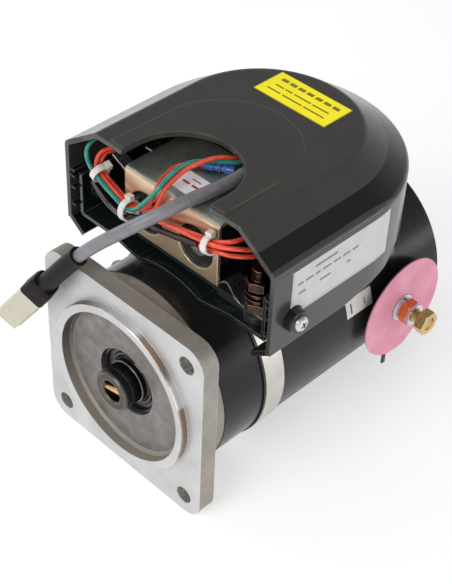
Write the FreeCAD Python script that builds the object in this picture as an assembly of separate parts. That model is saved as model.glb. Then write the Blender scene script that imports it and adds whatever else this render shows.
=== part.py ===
"""Flange-mounted 12 V direct-current winch motor with a pair of switching contactors under a cover.

The motor lies along Y: the square mounting flange and the driven coupling face -Y, the brush end
is at +Y, and the contactors under their cover are on top, at +Z.  The origin is the centre of the
flange's front face, on the shaft's axis.  All sizes are in millimetres.
"""
import FreeCAD, Part
import math
import os

V = FreeCAD.Vector
AXIS_X, AXIS_Y, AXIS_Z = V(1, 0, 0), V(0, 1, 0), V(0, 0, 1)

# ---------------------------------------------------------------- driving dimensions
FLANGE_SIDE = 120.0          # square flange
FLANGE_THICK = 10.5
FLANGE_CORNER = 12.0
BOLT_PITCH = 96.0            # square pattern of four holes
BOLT_HOLE_R = 5.25
SPIGOT_R = 50.0              # pilot ring that stands out of the flange
SPIGOT_HEIGHT = 4.0
RECESS_R = 45.0
RECESS_FLOOR_Y = 3.0
BOSS_R = 56.6                # round shoulder behind the flange

YOKE_R = 57.0                # steel tube of the motor
YOKE_WALL = 5.0
YOKE_FRONT_Y = 20.0
YOKE_REAR_Y = 188.0
CAP_REAR_Y = 197.0

SHAFT_R = 8.5                # front bearing seat
SEAL_BORE_R = 20.5
SLEEVE_R = 12.0              # driven coupling sleeve
SLEEVE_FRONT_Y = -8.0
SOCKET_R = 6.5
DRIVE_PIN_R = 2.0
DRIVE_PIN_Y = -4.9
DRIVE_PIN_TILT = 13.0        # degrees, where the rotor happens to stand

CORE_R = 37.4
CORE_FRONT_Y, CORE_REAR_Y = 64.0, 140.0
SLOT_COUNT = 22
COMMUTATOR_R = 19.0
COMMUTATOR_FRONT_Y, COMMUTATOR_REAR_Y = 150.0, 176.0
MAGNET_COUNT = 4

BAND_R = 57.9                # outside of the steel strap round the yoke
BAND_Y0, BAND_Y1 = 50.0, 63.5

TERMINAL_Y = 157.0           # both power studs leave the yoke on its sides
STUD_R = 4.0
NUT_FLATS = 13.0
DISC_R = 31.5
DISC_DISH = 1.2

COVER_HALF = 75.4            # half width of the cover, and the radius of its round rear
COVER_FRONT_Y = 29.5
COVER_ARC_Y = 100.5
COVER_TOP_Z = 120.7
COVER_SHOULDER_Z = 103.5     # where the wall turns into the sloping shoulder
COVER_TOP_HALF = 51.0
COVER_WALL = 2.8
COVER_BOTTOM_Z = 54.0
CUTOUT_R = 31.0              # open front notch in the cover's top
CUTOUT_ARC_Y = 41.0
PAD_R = 40.0                 # raised pad round the notch
PAD_ARC_Y = 71.0
PAD_FRONT_Y = 30.6           # the pad stops just short of the cover's front edge
PAD_RISE_FRONT = 1.3         # the pad is highest in front and fades towards its round end
PAD_RISE_REAR = 0.25
COVER_SCREW_Y, COVER_SCREW_Z = 44.0, 71.0

TRAY_HALF = 68.2             # sheet steel tray that carries the contactors
TRAY_SHEET = 2.0
TRAY_Z = 57.5
TRAY_Y0, TRAY_Y1 = 32.5, 132.0
TRAY_SIDE_TOP = 85.0
TRAY_SIDE_Y1 = 95.0

FRAME_HALF = 33.6            # folded frame round the two solenoid coils
FRAME_Y0, FRAME_Y1 = 34.0, 82.0
FRAME_Z0, FRAME_Z1 = 70.3, 108.0
FRAME_SHEET = 2.0
COIL_X, COIL_Z = 18.0, 86.5
SIDE_STUD_X, SIDE_STUD_Y = 54.5, 42.0
CONTACT_STUD_X = (-25.5, -10.5, 10.5, 25.5)
COIL_R = 15.3
WINDOW_R = 12.3
PLUNGER_R = 6.2

WIRE_R = 1.2
CABLE_R = 3.5
SLEEVE_TUBE_R = 5.2
CONNECTOR_WIDTH, CONNECTOR_THICK, CONNECTOR_LENGTH = 13.6, 9.5, 38.0
LABEL_THICK = 0.25


# ---------------------------------------------------------------- shape helpers
def cylinder(base, axis, radius, length):
    return Part.makeCylinder(radius, length, base, axis)


def disc_y(radius, y0, y1, x=0.0, z=0.0):
    """Round bar along Y."""
    return cylinder(V(x, y0, z), AXIS_Y, radius, y1 - y0)


def ring_y(outer, inner, y0, y1, x=0.0, z=0.0):
    """Round ring along Y."""
    return disc_y(outer, y0, y1, x, z).cut(disc_y(inner, y0 - 1, y1 + 1, x, z))


def box(x0, x1, y0, y1, z0, z1):
    return Part.makeBox(x1 - x0, y1 - y0, z1 - z0, V(x0, y0, z0))


def polygon_face(points):
    return Part.Face(Part.makePolygon(points + [points[0]]))


def turned_y(profile, degrees=360.0):
    """Solid of revolution about the Y axis from (radius, y) points."""
    face = polygon_face([V(radius, y, 0) for radius, y in profile])
    return face.revolve(V(0, 0, 0), AXIS_Y, degrees)


def turned_x(profile):
    """Solid of revolution about the X axis from (x, radius) points."""
    face = polygon_face([V(x, 0, radius) for x, radius in profile])
    return face.revolve(V(0, 0, 0), AXIS_X, 360.0)


def moved(shape, x=0.0, y=0.0, z=0.0):
    copy = shape.copy()
    copy.translate(V(x, y, z))
    return copy


def spun_y(shape, degrees):
    """Copy turned about the motor's axis."""
    copy = shape.copy()
    copy.rotate(V(0, 0, 0), AXIS_Y, degrees)
    return copy


def mirrored_x(shape):
    return shape.mirror(V(0, 0, 0), AXIS_X)


def both_sides(shape):
    return Part.makeCompound([shape, mirrored_x(shape)])


def fused(shapes):
    first = shapes[0]
    return first.multiFuse(shapes[1:]).removeSplitter() if len(shapes) > 1 else first


def group(shapes):
    return Part.makeCompound(shapes)


def rounded_wire(points, radius, closed=True):
    """Planar outline through the points with every corner rounded to the radius that fits."""
    count = len(points)
    edges = []
    last_end = None
    first_start = None
    corners = range(count) if closed else range(1, count - 1)
    for i in corners:
        before, here, after = points[i - 1], points[i], points[(i + 1) % count]
        into, out = (here - before), (after - here)
        turn = into.getAngle(out)
        cut = min(radius * math.tan(turn / 2), 0.45 * min(into.Length, out.Length))
        start = here - into.normalize() * cut
        end = here + out.normalize() * cut
        bisector = (end + start) * 0.5 - here
        arc_radius = cut / math.tan(turn / 2)
        centre_distance = math.hypot(arc_radius, cut)
        middle = here + bisector.normalize() * (centre_distance - arc_radius)
        if last_end is not None:
            edges.append(Part.LineSegment(last_end, start).toShape())
        else:
            first_start = start
        edges.append(Part.Arc(start, middle, end).toShape())
        last_end = end
    if closed:
        edges.append(Part.LineSegment(last_end, first_start).toShape())
    else:
        edges.insert(0, Part.LineSegment(points[0], first_start).toShape())
        edges.append(Part.LineSegment(last_end, points[-1]).toShape())
    return Part.Wire(edges)


def hex_nut_x(x0, height, flats, bore):
    """Hexagon nut along +X, with chamfered corners."""
    across = flats / math.cos(math.pi / 6) / 2
    corners = [V(x0, across * math.cos(k * math.pi / 3), across * math.sin(k * math.pi / 3))
               for k in range(6)]
    body = polygon_face(corners).extrude(V(height, 0, 0))
    chamfer = 0.18 * flats / 2
    cone = turned_x([(x0, 0), (x0, flats / 2), (x0 + chamfer / 2, flats / 2 + chamfer),
                     (x0 + height - chamfer / 2, flats / 2 + chamfer),
                     (x0 + height, flats / 2), (x0 + height, 0)])
    hole = cylinder(V(x0 - 1, 0, 0), AXIS_X, bore, height + 2)
    return body.common(cone).cut(hole)


def hex_nut_y(y0, height, flats, bore, x=0.0, z=0.0):
    nut = hex_nut_x(0, height, flats, bore)
    nut.rotate(V(0, 0, 0), AXIS_Z, 90)
    return moved(nut, x, y0, z)


def hex_nut_z(z0, height, flats, bore, x=0.0, y=0.0):
    nut = hex_nut_x(0, height, flats, bore)
    nut.rotate(V(0, 0, 0), AXIS_Y, -90)
    return moved(nut, x, y, z0)


def hex_prism_z(z0, height, flats, x, y):
    across = flats / math.cos(math.pi / 6) / 2
    corners = [V(x + across * math.cos(k * math.pi / 3), y + across * math.sin(k * math.pi / 3), z0)
               for k in range(6)]
    return polygon_face(corners).extrude(V(0, 0, height))


# ---------------------------------------------------------------- routes of wires and cable
def route_edges(points):
    """Straight runs joined by tangent arcs, each arc as large as its two runs allow."""
    edges = []
    radii = []
    start_of_run = points[0]
    for before, here, after in zip(points, points[1:], points[2:]):
        into, out = here - before, after - here
        turn = into.getAngle(out)
        cut = 0.45 * min(into.Length, out.Length)
        radius = cut / math.tan(turn / 2)
        start = here - into.normalize() * cut
        end = here + out.normalize() * cut
        inward = ((start + end) * 0.5 - here).normalize()
        middle = here + inward * (math.hypot(radius, cut) - radius)
        edges.append(Part.LineSegment(start_of_run, start).toShape())
        edges.append(Part.Arc(start, middle, end).toShape())
        radii.append(radius)
        start_of_run = end
    edges.append(Part.LineSegment(start_of_run, points[-1]).toShape())
    return edges, radii


def swept(edges, radius):
    """Solid round bar along the edges."""
    path = Part.Wire(edges)
    first = edges[0]
    start = first.valueAt(first.FirstParameter)
    tangent = first.tangentAt(first.FirstParameter)
    section = Part.Wire(Part.makeCircle(radius, start, tangent))
    return path.makePipeShell([section], True, False)


def tube_along(name, points, radius):
    points = [V(*p) for p in points]
    edges, radii = route_edges(points)
    solid = swept(edges, radius)
    length = sum(edge.Length for edge in edges)
    expected = math.pi * radius ** 2 * length
    print("%-18s length %6.1f  tightest radius %5.1f  volume/expected %.4f"
          % (name, length, min(radii), solid.Volume / expected))
    return solid


# ---------------------------------------------------------------- drive end
def drive_end_flange():
    half = FLANGE_SIDE / 2
    corners = [V(-half, 0, -half), V(half, 0, -half), V(half, 0, half), V(-half, 0, half)]
    plate = Part.Face(rounded_wire(corners, FLANGE_CORNER)).extrude(V(0, FLANGE_THICK, 0))
    register_r = YOKE_R - YOKE_WALL - 0.05
    turned = turned_y([(0, 0), (SPIGOT_R - 0.5, -SPIGOT_HEIGHT), (SPIGOT_R, -SPIGOT_HEIGHT + 0.5),
                       (SPIGOT_R, 5), (BOSS_R, 5), (BOSS_R, YOKE_FRONT_Y - 0.05),
                       (register_r, YOKE_FRONT_Y - 0.05), (register_r, 27), (48, 27), (48, 10),
                       (27, 10), (27, 28), (0, 28)])
    tapped_bosses = [disc_y(6.0, 9.5, 27, 0, sign * 46.0) for sign in (1, -1)]
    body = fused([plate, turned] + tapped_bosses)
    front_void = turned_y([(0, -SPIGOT_HEIGHT - 1), (RECESS_R, -SPIGOT_HEIGHT - 1),
                           (RECESS_R, -SPIGOT_HEIGHT), (44.4, 1.6), (43.0, RECESS_FLOOR_Y),
                           (SEAL_BORE_R, RECESS_FLOOR_Y), (SEAL_BORE_R, 11.5), (18.5, 11.5),
                           (18.5, 13.0), (20.0, 13.0), (20.0, 25.2), (20.9, 25.2),
                           (20.9, 26.4), (20.0, 26.4), (20.0, 29), (0, 29)])
    body = body.cut(front_void)
    for x in (-BOLT_PITCH / 2, BOLT_PITCH / 2):
        for z in (-BOLT_PITCH / 2, BOLT_PITCH / 2):
            body = body.cut(disc_y(BOLT_HOLE_R, -1, FLANGE_THICK + 1, x, z))
    for sign in (1, -1):
        body = body.cut(disc_y(3.0, 12.5, 28, 0, sign * 46.0))
    return body


def shaft_seal():
    """Rubber lip seal with a dished face."""
    return turned_y([(SEAL_BORE_R - 0.05, 5.0), (SEAL_BORE_R - 0.05, 11.4), (14.2, 11.4),
                     (14.2, 8.6), (SLEEVE_R + 0.08, 7.4), (SLEEVE_R + 0.08, 6.4), (13.2, 5.9),
                     (14.2, 7.0), (15.4, 6.9), (16.0, 7.9), (18.0, 7.6), (18.9, 5.0)])


def front_circlip():
    ring = ring_y(20.85, 17.6, 25.25, 26.35)
    gap = box(-2.6, 2.6, 25, 27, 10, 22)
    eyes = [disc_y(1.9, 25.25, 26.35, x, 17.2).cut(disc_y(0.8, 25, 27, x, 17.2))
            for x in (-4.4, 4.4)]
    return fused([ring.cut(gap).cut(disc_y(0.8, 25, 27, -4.4, 17.2))
                  .cut(disc_y(0.8, 25, 27, 4.4, 17.2))] + eyes)


# ---------------------------------------------------------------- bearings
FRONT_BEARING = dict(y=13.0, width=12.0, bore=8.5, inner=12.0, outer=16.6, rim=20.0,
                     pitch=14.25, ball=3.2, balls=8)
REAR_BEARING = dict(y=183.0, width=11.0, bore=7.5, inner=10.6, outer=14.4, rim=17.5,
                    pitch=12.5, ball=2.75, balls=8)
RACE_CLEARANCE = 0.05


def bearing_race(bearing):
    middle = bearing["y"] + bearing["width"] / 2
    return Part.makeTorus(bearing["pitch"], bearing["ball"] + RACE_CLEARANCE,
                          V(0, middle, 0), AXIS_Y)


def inner_ring(bearing):
    y0, y1 = bearing["y"], bearing["y"] + bearing["width"]
    return ring_y(bearing["inner"], bearing["bore"], y0, y1).cut(bearing_race(bearing))


def outer_ring(bearing):
    y0, y1 = bearing["y"], bearing["y"] + bearing["width"]
    return ring_y(bearing["rim"], bearing["outer"], y0, y1).cut(bearing_race(bearing))


def balls_and_cage(bearing):
    """The balls, and the pocketed cage that spaces them."""
    middle = bearing["y"] + bearing["width"] / 2
    half_width = bearing["ball"] + 1.3
    cage = ring_y(bearing["pitch"] + 0.8, bearing["pitch"] - 0.8,
                  middle - half_width, middle + half_width)
    balls = []
    for k in range(bearing["balls"]):
        angle = 2 * math.pi * k / bearing["balls"]
        centre = V(bearing["pitch"] * math.cos(angle), middle, bearing["pitch"] * math.sin(angle))
        balls.append(Part.makeSphere(bearing["ball"], centre))
        cage = cage.cut(cylinder(centre * 0.8 + V(0, middle, 0) * 0.2, V(centre.x, 0, centre.z),
                                 bearing["ball"] + 0.2, bearing["pitch"] * 0.4))
    return group(balls + [cage])


# ---------------------------------------------------------------- yoke and brush end
def yoke_tube():
    tube = ring_y(YOKE_R, YOKE_R - YOKE_WALL, YOKE_FRONT_Y, YOKE_REAR_Y)
    for axis in (AXIS_X, -AXIS_X):
        tube = tube.cut(cylinder(V(0, TERMINAL_Y, 0), axis, 9.0, 70))
    return tube


def field_magnets():
    """Ferrite segments bonded inside the yoke, with a gap between neighbours."""
    full = ring_y(YOKE_R - YOKE_WALL - 0.05, CORE_R + 0.9, 62.0, 142.0)
    segments = []
    for k in range(MAGNET_COUNT):
        wedge = turned_y([(30, 61), (60, 61), (60, 143), (30, 143)], 70.0)
        segments.append(spun_y(wedge, 10 + 90 * k).common(full))
    return group(segments)


def rear_end_cap():
    register_r = YOKE_R - YOKE_WALL - 0.05
    cap = turned_y([(0, 195), (17.5, 195), (17.5, 181), (21.5, 181), (21.5, 189), (48.5, 189),
                    (48.5, 182), (register_r, 182), (register_r, YOKE_REAR_Y + 0.05),
                    (YOKE_R, YOKE_REAR_Y + 0.05), (YOKE_R, CAP_REAR_Y - 2.5),
                    (YOKE_R - 2.5, CAP_REAR_Y), (24, CAP_REAR_Y), (23, CAP_REAR_Y + 2),
                    (0, CAP_REAR_Y + 2)])
    for sign in (1, -1):
        cap = cap.cut(disc_y(3.3, 180, 200, 0, sign * 46.0))
        cap = cap.cut(disc_y(7.0, 192.5, 200, 0, sign * 46.0))
    return cap


def rear_wave_washer():
    return ring_y(17.3, 14.6, 194.05, 194.9)


def through_bolts():
    """Two long bolts that clamp the rear cap, the yoke and the flange together."""
    bolts = []
    for sign in (1, -1):
        shank = disc_y(2.95, 13.0, 192.55, 0, sign * 46.0)
        head = hex_nut_y(192.5, 4.0, 10.0, 1.0, 0, sign * 46.0)
        core = disc_y(1.5, 192.5, 196.5, 0, sign * 46.0)
        bolts.append(fused([shank, head, core]))
    return group(bolts)


def brush_plate():
    plate = ring_y(YOKE_R - YOKE_WALL - 0.2, 24.0, 177.0, 180.0)
    for sign in (1, -1):
        plate = plate.cut(disc_y(3.4, 176, 181, 0, sign * 46.0))
    return plate


BRUSH_WIDTH = 10.0
BRUSH_Y0, BRUSH_Y1 = 157.4, 174.6
BRUSH_INNER_R, BRUSH_OUTER_R = COMMUTATOR_R + 0.08, 37.5
BRUSH_ANGLES = (45, 135, 225, 315)


def brush_at_zero():
    """Carbon block standing on the commutator, along +X."""
    half = BRUSH_WIDTH / 2
    block = box(COMMUTATOR_R - 3, BRUSH_OUTER_R, BRUSH_Y0, BRUSH_Y1, -half, half)
    return block.cut(disc_y(BRUSH_INNER_R, 150, 180))


def brush_holder_at_zero():
    """Brass box that guides the brush and holds the spring roll above it."""
    half = BRUSH_WIDTH / 2 + 0.15
    outer = box(22.0, 47.0, BRUSH_Y0 - 1.4, 176.9, -half - 1.2, half + 1.2)
    bore = box(20.0, 50.0, BRUSH_Y0 - 0.15, BRUSH_Y1 + 0.15, -half, half)
    window = box(30.0, 44.0, 150.0, BRUSH_Y0, -2.2, 2.2)
    return outer.cut(bore).cut(window)


def brush_spring_at_zero():
    """Rolled constant-force spring between the holder's side walls."""
    width = BRUSH_WIDTH + 0.2
    roll = cylinder(V(43.6, 166.0, -width / 2), AXIS_Z, 3.2, width)
    return roll.cut(cylinder(V(43.6, 166.0, -width), AXIS_Z, 1.6, 2 * width))


def at_brush_angles(shape):
    return [spun_y(shape, -angle) for angle in BRUSH_ANGLES]


# ---------------------------------------------------------------- rotor
def motor_shaft():
    return turned_y([(0, 2.2), (SHAFT_R - 0.5, 2.2), (SHAFT_R, 2.7), (SHAFT_R, 27), (11, 27),
                     (11, 178), (9, 180), (9, 183), (7.5, 183), (7.5, 193.5), (7, 194),
                     (0, 194)])


def drive_pin_direction():
    tilt = math.radians(DRIVE_PIN_TILT)
    return V(math.cos(tilt), 0, math.sin(tilt))


def drive_pin():
    """Cross pin that drives the winch shaft's slotted end."""
    direction = drive_pin_direction()
    reach = 10.9
    return cylinder(V(0, DRIVE_PIN_Y, 0) - direction * reach, direction, DRIVE_PIN_R, 2 * reach)


def coupling_sleeve():
    body = turned_y([(SOCKET_R + 0.6, SLEEVE_FRONT_Y), (SLEEVE_R - 0.9, SLEEVE_FRONT_Y),
                     (SLEEVE_R - 0.2, -7.3), (SLEEVE_R - 0.2, -7.0), (11.0, -7.0), (11.0, -2.8),
                     (SLEEVE_R, -2.8), (SLEEVE_R, 3.3), (12.6, 3.5), (12.6, 4.2), (SLEEVE_R, 4.4),
                     (SLEEVE_R, 11.2), (10.2, 11.2), (10.2, 12.95), (SHAFT_R, 12.95),
                     (SHAFT_R, 2.1), (SOCKET_R, 2.1), (SOCKET_R, -7.4)])
    direction = drive_pin_direction()
    cross_hole = cylinder(V(0, DRIVE_PIN_Y, 0) - direction * 15, direction, DRIVE_PIN_R, 30)
    return body.cut(cross_hole)


def coupling_band():
    """Blackened spring ring that keeps the cross pin in."""
    return ring_y(12.2, 11.05, -6.9, -2.9)


def armature_core():
    core = ring_y(CORE_R, 11.0, CORE_FRONT_Y, CORE_REAR_Y)
    slots = []
    for k in range(SLOT_COUNT):
        slot = box(23.0, 35.6, CORE_FRONT_Y - 1, CORE_REAR_Y + 1, -1.6, 1.6)
        mouth = box(35.0, 40.0, CORE_FRONT_Y - 1, CORE_REAR_Y + 1, -0.9, 0.9)
        slots.append(spun_y(slot.fuse(mouth), 360.0 * k / SLOT_COUNT))
    return core.cut(group(slots))


def armature_winding():
    """Coil bars in the slots and the end turns at both ends."""
    front = turned_y([(14, 63.9), (15, 52), (19, 48.5), (29, 48.5), (33, 52), (34.5, 63.9)])
    rear = turned_y([(14, 140.1), (34.5, 140.1), (33.5, 146), (24, 149.4), (14, 149.4)])
    bars = [spun_y(box(23.6, 34.8, 63.5, 140.5, -1.4, 1.4), 360.0 * k / SLOT_COUNT)
            for k in range(SLOT_COUNT)]
    return fused([front, rear] + bars)


def commutator():
    """Copper bars with undercut slits between them."""
    copper = turned_y([(13.5, COMMUTATOR_FRONT_Y), (23, COMMUTATOR_FRONT_Y), (23, 153),
                       (COMMUTATOR_R, 154), (COMMUTATOR_R, COMMUTATOR_REAR_Y - 0.5),
                       (COMMUTATOR_R - 0.5, COMMUTATOR_REAR_Y), (13.5, COMMUTATOR_REAR_Y)])
    slits = [spun_y(box(17.6, 25, 149, 178, -0.3, 0.3), 360.0 * (k + 0.5) / SLOT_COUNT)
             for k in range(SLOT_COUNT)]
    return copper.cut(group(slits))


def commutator_hub():
    return ring_y(13.45, 11.0, COMMUTATOR_FRONT_Y, COMMUTATOR_REAR_Y + 0.6)


# ---------------------------------------------------------------- power terminals
def on_terminal(shape_x):
    """Both copies of a piece that was built on the +X axis."""
    return both_sides(moved(shape_x, 0, TERMINAL_Y, 0))


def terminal_studs():
    """Brass studs with a square head inside the yoke and a cut thread outside."""
    pitch = 1.25
    outline = [(49.9, 0), (49.9, STUD_R), (61.0, STUD_R)]
    x = 61.0
    while x < 80.0:
        outline += [(x + pitch / 2, STUD_R - 0.45), (x + pitch, STUD_R)]
        x += pitch
    outline += [(81.3, STUD_R - 0.6), (81.3, 0)]
    head = box(46.0, 49.9, -6, 6, -6, 6)
    return on_terminal(fused([turned_x(outline), head]))


def terminal_bushes():
    """Insulating bush through the yoke wall, with a flange outside."""
    flange = cylinder(V(54, 0, 0), AXIS_X, 10.5, 6.3).cut(disc_y(YOKE_R + 0.05, -20, 20))
    neck = cylinder(V(50.0, 0, 0), AXIS_X, 8.9, 8.0)
    bush = flange.fuse(neck).cut(cylinder(V(49, 0, 0), AXIS_X, STUD_R + 0.05, 12))
    return on_terminal(bush)


def terminal_discs():
    """Insulating paper discs, a little dished and cut straight across the lower rear side."""
    bore, rim = STUD_R + 0.3, 60.4 + DISC_DISH
    disc = turned_x([(60.4, bore), (61.3, bore), (61.3, 9.0), (rim + 0.9, DISC_R),
                     (rim, DISC_R), (60.4, 9.0)])
    trim = box(60, 64, 28.8, 50.0, -40, 40)
    trim.rotate(V(0, 0, 0), AXIS_X, -56)
    return on_terminal(disc.cut(trim))


def terminal_washers():
    """Flat washer and split spring washer under the lock nut, and one flat washer over it."""
    flat = turned_x([(61.35, STUD_R + 0.15), (61.35, 8.0), (62.6, 8.0), (62.6, STUD_R + 0.15)])
    spring = turned_x([(62.65, STUD_R + 0.15), (62.65, 6.9), (64.2, 6.9), (64.2, STUD_R + 0.15)])
    spring = spring.cut(box(62, 65, -0.6, 0.6, 0, 10))
    outer = turned_x([(70.4, STUD_R + 0.15), (70.4, 6.6), (71.7, 6.6), (71.7, STUD_R + 0.15)])
    return on_terminal(group([flat, spring, outer]))


def terminal_nuts():
    """Two equal nuts on each stud: one clamps the bush, one is for the cable lug."""
    clamp_nut = hex_nut_x(64.3, 5.9, NUT_FLATS, STUD_R + 0.02)
    lug_nut = hex_nut_x(76.0, 5.9, NUT_FLATS, STUD_R + 0.02)
    return on_terminal(group([clamp_nut, lug_nut]))


def terminal_tie():
    """Black cable tie round the right-hand bush, its tail hanging below the disc."""
    loop = turned_x([(57.6, 10.6), (57.6, 11.8), (60.1, 11.8), (60.1, 10.6)])
    loop = moved(loop, 0, TERMINAL_Y, 0)
    head = box(57.4, 60.2, TERMINAL_Y - 8.6, TERMINAL_Y - 4.4, -15.4, -10.6)
    tail = box(58.3, 59.5, TERMINAL_Y - 7.7, TERMINAL_Y - 5.3, -41.5, -15.0)
    return fused([loop, head, tail])


# ---------------------------------------------------------------- strap and tray
def strap_band():
    """Stainless strap round the yoke, with two ears drawn together on the left."""
    band = ring_y(BAND_R, YOKE_R + 0.03, BAND_Y0, BAND_Y1)
    gap = box(-62, -50, BAND_Y0 - 1, BAND_Y1 + 1, -3.2, 3.2)
    upper = box(-71, -YOKE_R - 0.1, BAND_Y0, BAND_Y1, 3.2, 4.8)
    ears = [upper, upper.mirror(V(0, 0, 0), AXIS_Z)]
    hole = cylinder(V(-65, 56.75, -10), AXIS_Z, 3.2, 20)
    return fused([band.cut(gap)] + ears).cut(hole)


def strap_liner():
    """Thin rubber strip that shows in front of the strap."""
    return ring_y(BAND_R, YOKE_R + 0.03, 48.4, 49.9)


def strap_screw():
    shank = cylinder(V(-65, 56.75, -11), AXIS_Z, 2.9, 16.5)
    head = cylinder(V(-65, 56.75, 4.85), AXIS_Z, 5.0, 4.5)
    socket = hex_prism_z(6.5, 4.0, 5.0, -65, 56.75)
    screw = shank.fuse(head).cut(socket)
    nut = hex_nut_z(-9.9, 5.0, 10.0, 2.95, -65, 56.75)
    return group([screw, nut])


def contactor_tray():
    """Folded tray: level wings, a saddle that rests on the strap, and upturned sides."""
    saddle_r = BAND_R + 0.05
    foot_x = 22.0
    foot_z = math.sqrt(saddle_r ** 2 - foot_x ** 2)
    top_r = saddle_r + TRAY_SHEET
    top_foot_x = foot_x * top_r / saddle_r
    top_foot_z = foot_z * top_r / saddle_r
    y = TRAY_Y0
    wing_x = 45.0
    inner_half = TRAY_HALF - TRAY_SHEET
    under = Part.Arc(V(-foot_x, y, foot_z), V(0, y, saddle_r), V(foot_x, y, foot_z)).toShape()
    over = Part.Arc(V(top_foot_x, y, top_foot_z), V(0, y, top_r),
                    V(-top_foot_x, y, top_foot_z)).toShape()
    right = [V(foot_x, y, foot_z), V(wing_x, y, TRAY_Z), V(TRAY_HALF, y, TRAY_Z),
             V(TRAY_HALF, y, TRAY_SIDE_TOP), V(inner_half, y, TRAY_SIDE_TOP),
             V(inner_half, y, TRAY_Z + TRAY_SHEET), V(wing_x - 0.6, y, TRAY_Z + TRAY_SHEET),
             V(top_foot_x, y, top_foot_z)]
    left = [V(-p.x, p.y, p.z) for p in reversed(right)]
    edges = [under] + Part.makePolygon(right).Edges + [over] + Part.makePolygon(left).Edges
    tray = Part.Face(Part.Wire(edges)).extrude(V(0, TRAY_Y1 - TRAY_Y0, 0))
    for sign in (1, -1):
        x0, x1 = sorted((sign * (inner_half - 1), sign * (TRAY_HALF + 1)))
        tray = tray.cut(box(x0, x1, TRAY_SIDE_Y1, TRAY_Y1 + 1, TRAY_Z + 4, 90))
        weld_nut = cylinder(V(sign * 62.8, COVER_SCREW_Y, COVER_SCREW_Z), V(sign, 0, 0), 5.0,
                            inner_half - 62.8)
        hole = cylinder(V(sign * 60, COVER_SCREW_Y, COVER_SCREW_Z), V(sign, 0, 0), 2.6, 10)
        tray = tray.fuse(weld_nut).cut(hole)
    return tray.removeSplitter()


# ---------------------------------------------------------------- contactors
def contactor_frame():
    """Passivated steel frame folded over the coils, a window on each plunger, and the two
    riveted cores that the plungers are pulled towards."""
    radius = 3.0
    profile = [V(0, FRAME_Y0, FRAME_Z0), V(0, FRAME_Y0, FRAME_Z1), V(0, FRAME_Y1, FRAME_Z1),
               V(0, FRAME_Y1, FRAME_Z0)]
    outer = Part.Face(rounded_wire(profile, radius)).extrude(V(2 * FRAME_HALF, 0, 0))
    outer = outer.fuse(box(0, 2 * FRAME_HALF, FRAME_Y0, FRAME_Y1, FRAME_Z0, FRAME_Z0 + 6))
    sheet = FRAME_SHEET
    inner = box(-1, 2 * FRAME_HALF + 1, FRAME_Y0 + sheet, FRAME_Y1 - sheet,
                FRAME_Z0 - 1, FRAME_Z1 - sheet)
    frame = moved(outer.cut(inner), -FRAME_HALF)
    for x in (-COIL_X, COIL_X):
        frame = frame.cut(disc_y(WINDOW_R, FRAME_Y0 - 1, FRAME_Y0 + sheet + 1, x, COIL_Z))
        core = disc_y(6.35, 70.5, FRAME_Y1 - 0.5, x, COIL_Z)
        frame = frame.fuse(core).cut(disc_y(2.4, 69, FRAME_Y1 + 1, x, COIL_Z))
    return frame.removeSplitter()


def contactor_coils():
    """Taped coils on moulded bobbins, one each side."""
    coils = []
    for x in (-COIL_X, COIL_X):
        coil = disc_y(COIL_R, 37.6, 78.2, x, COIL_Z)
        for y in (36.2, 78.2):
            coil = coil.fuse(disc_y(COIL_R + 0.25, y, y + 1.4, x, COIL_Z))
        collar = ring_y(8.6, PLUNGER_R + 0.25, 35.0, 36.3, x, COIL_Z)
        coil = coil.fuse(collar).cut(disc_y(PLUNGER_R + 0.25, 34, 70, x, COIL_Z))
        coils.append(coil.cut(disc_y(6.4, 69, 80, x, COIL_Z)))
    return group(coils)


def plunger(x):
    """Steel plunger and its push rod, which carries the contact bridge."""
    body = disc_y(PLUNGER_R, 35.4, 66.8, x, COIL_Z)
    dimple = disc_y(2.6, 34, 37.0, x, COIL_Z)
    rod = disc_y(2.0, 66.0, 91.6, x, COIL_Z)
    return body.cut(dimple).fuse(rod)


def contact_bridge(x):
    """Copper bar that closes the two contacts behind it."""
    plate = box(x - 11.5, x + 11.5, 88.0, 90.2, COIL_Z - 5, COIL_Z + 5)
    return plate.cut(disc_y(2.02, 85, 93, x, COIL_Z))


def contact_housing():
    """Black moulded chamber behind the frame, and the base moulding below the coils."""
    outer = box(-33.4, 33.4, FRAME_Y1 + 0.05, 108.0, 62.0, 106.0)
    cavity = box(-30.6, 30.6, FRAME_Y1 - 1, 104.6, 70.0, 103.0)
    holes = [disc_y(STUD_R + 0.02, 100, 110, x, COIL_Z) for x in CONTACT_STUD_X]
    base = box(-30.5, 30.5, 39.0, FRAME_Y1 + 1, 62.0, FRAME_Z0 - 0.05)
    body = outer.cut(group([cavity] + holes)).fuse(base)
    gland_x, gland_z = CABLE_ROUTE[0][0], CABLE_ROUTE[0][2]
    gland = box(gland_x - 6.2, gland_x + 6.2, 90.08, 106.5, 105.9, 116.6)
    gland = gland.cut(disc_y(5.5, 89.0, 90.0, gland_x, gland_z))
    legs = [box(x - 3, x + 3, y - 3, y + 3, 59.0, 62.1) for x in (-27, 27) for y in (44, 102)]
    foot = TRAY_Z + TRAY_SHEET + 0.05
    arm = box(30.0, SIDE_STUD_X, 39.0, 45.0, foot, foot + 4.5)
    seat = cylinder(V(SIDE_STUD_X, SIDE_STUD_Y, foot), AXIS_Z, 7.2, 4.5)
    saddle_clear = disc_y(BAND_R + 0.05 + TRAY_SHEET + 0.05, 30, 145)
    body = body.multiFuse([gland, arm, seat] + legs)
    return body.cut(saddle_clear).removeSplitter()


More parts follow.
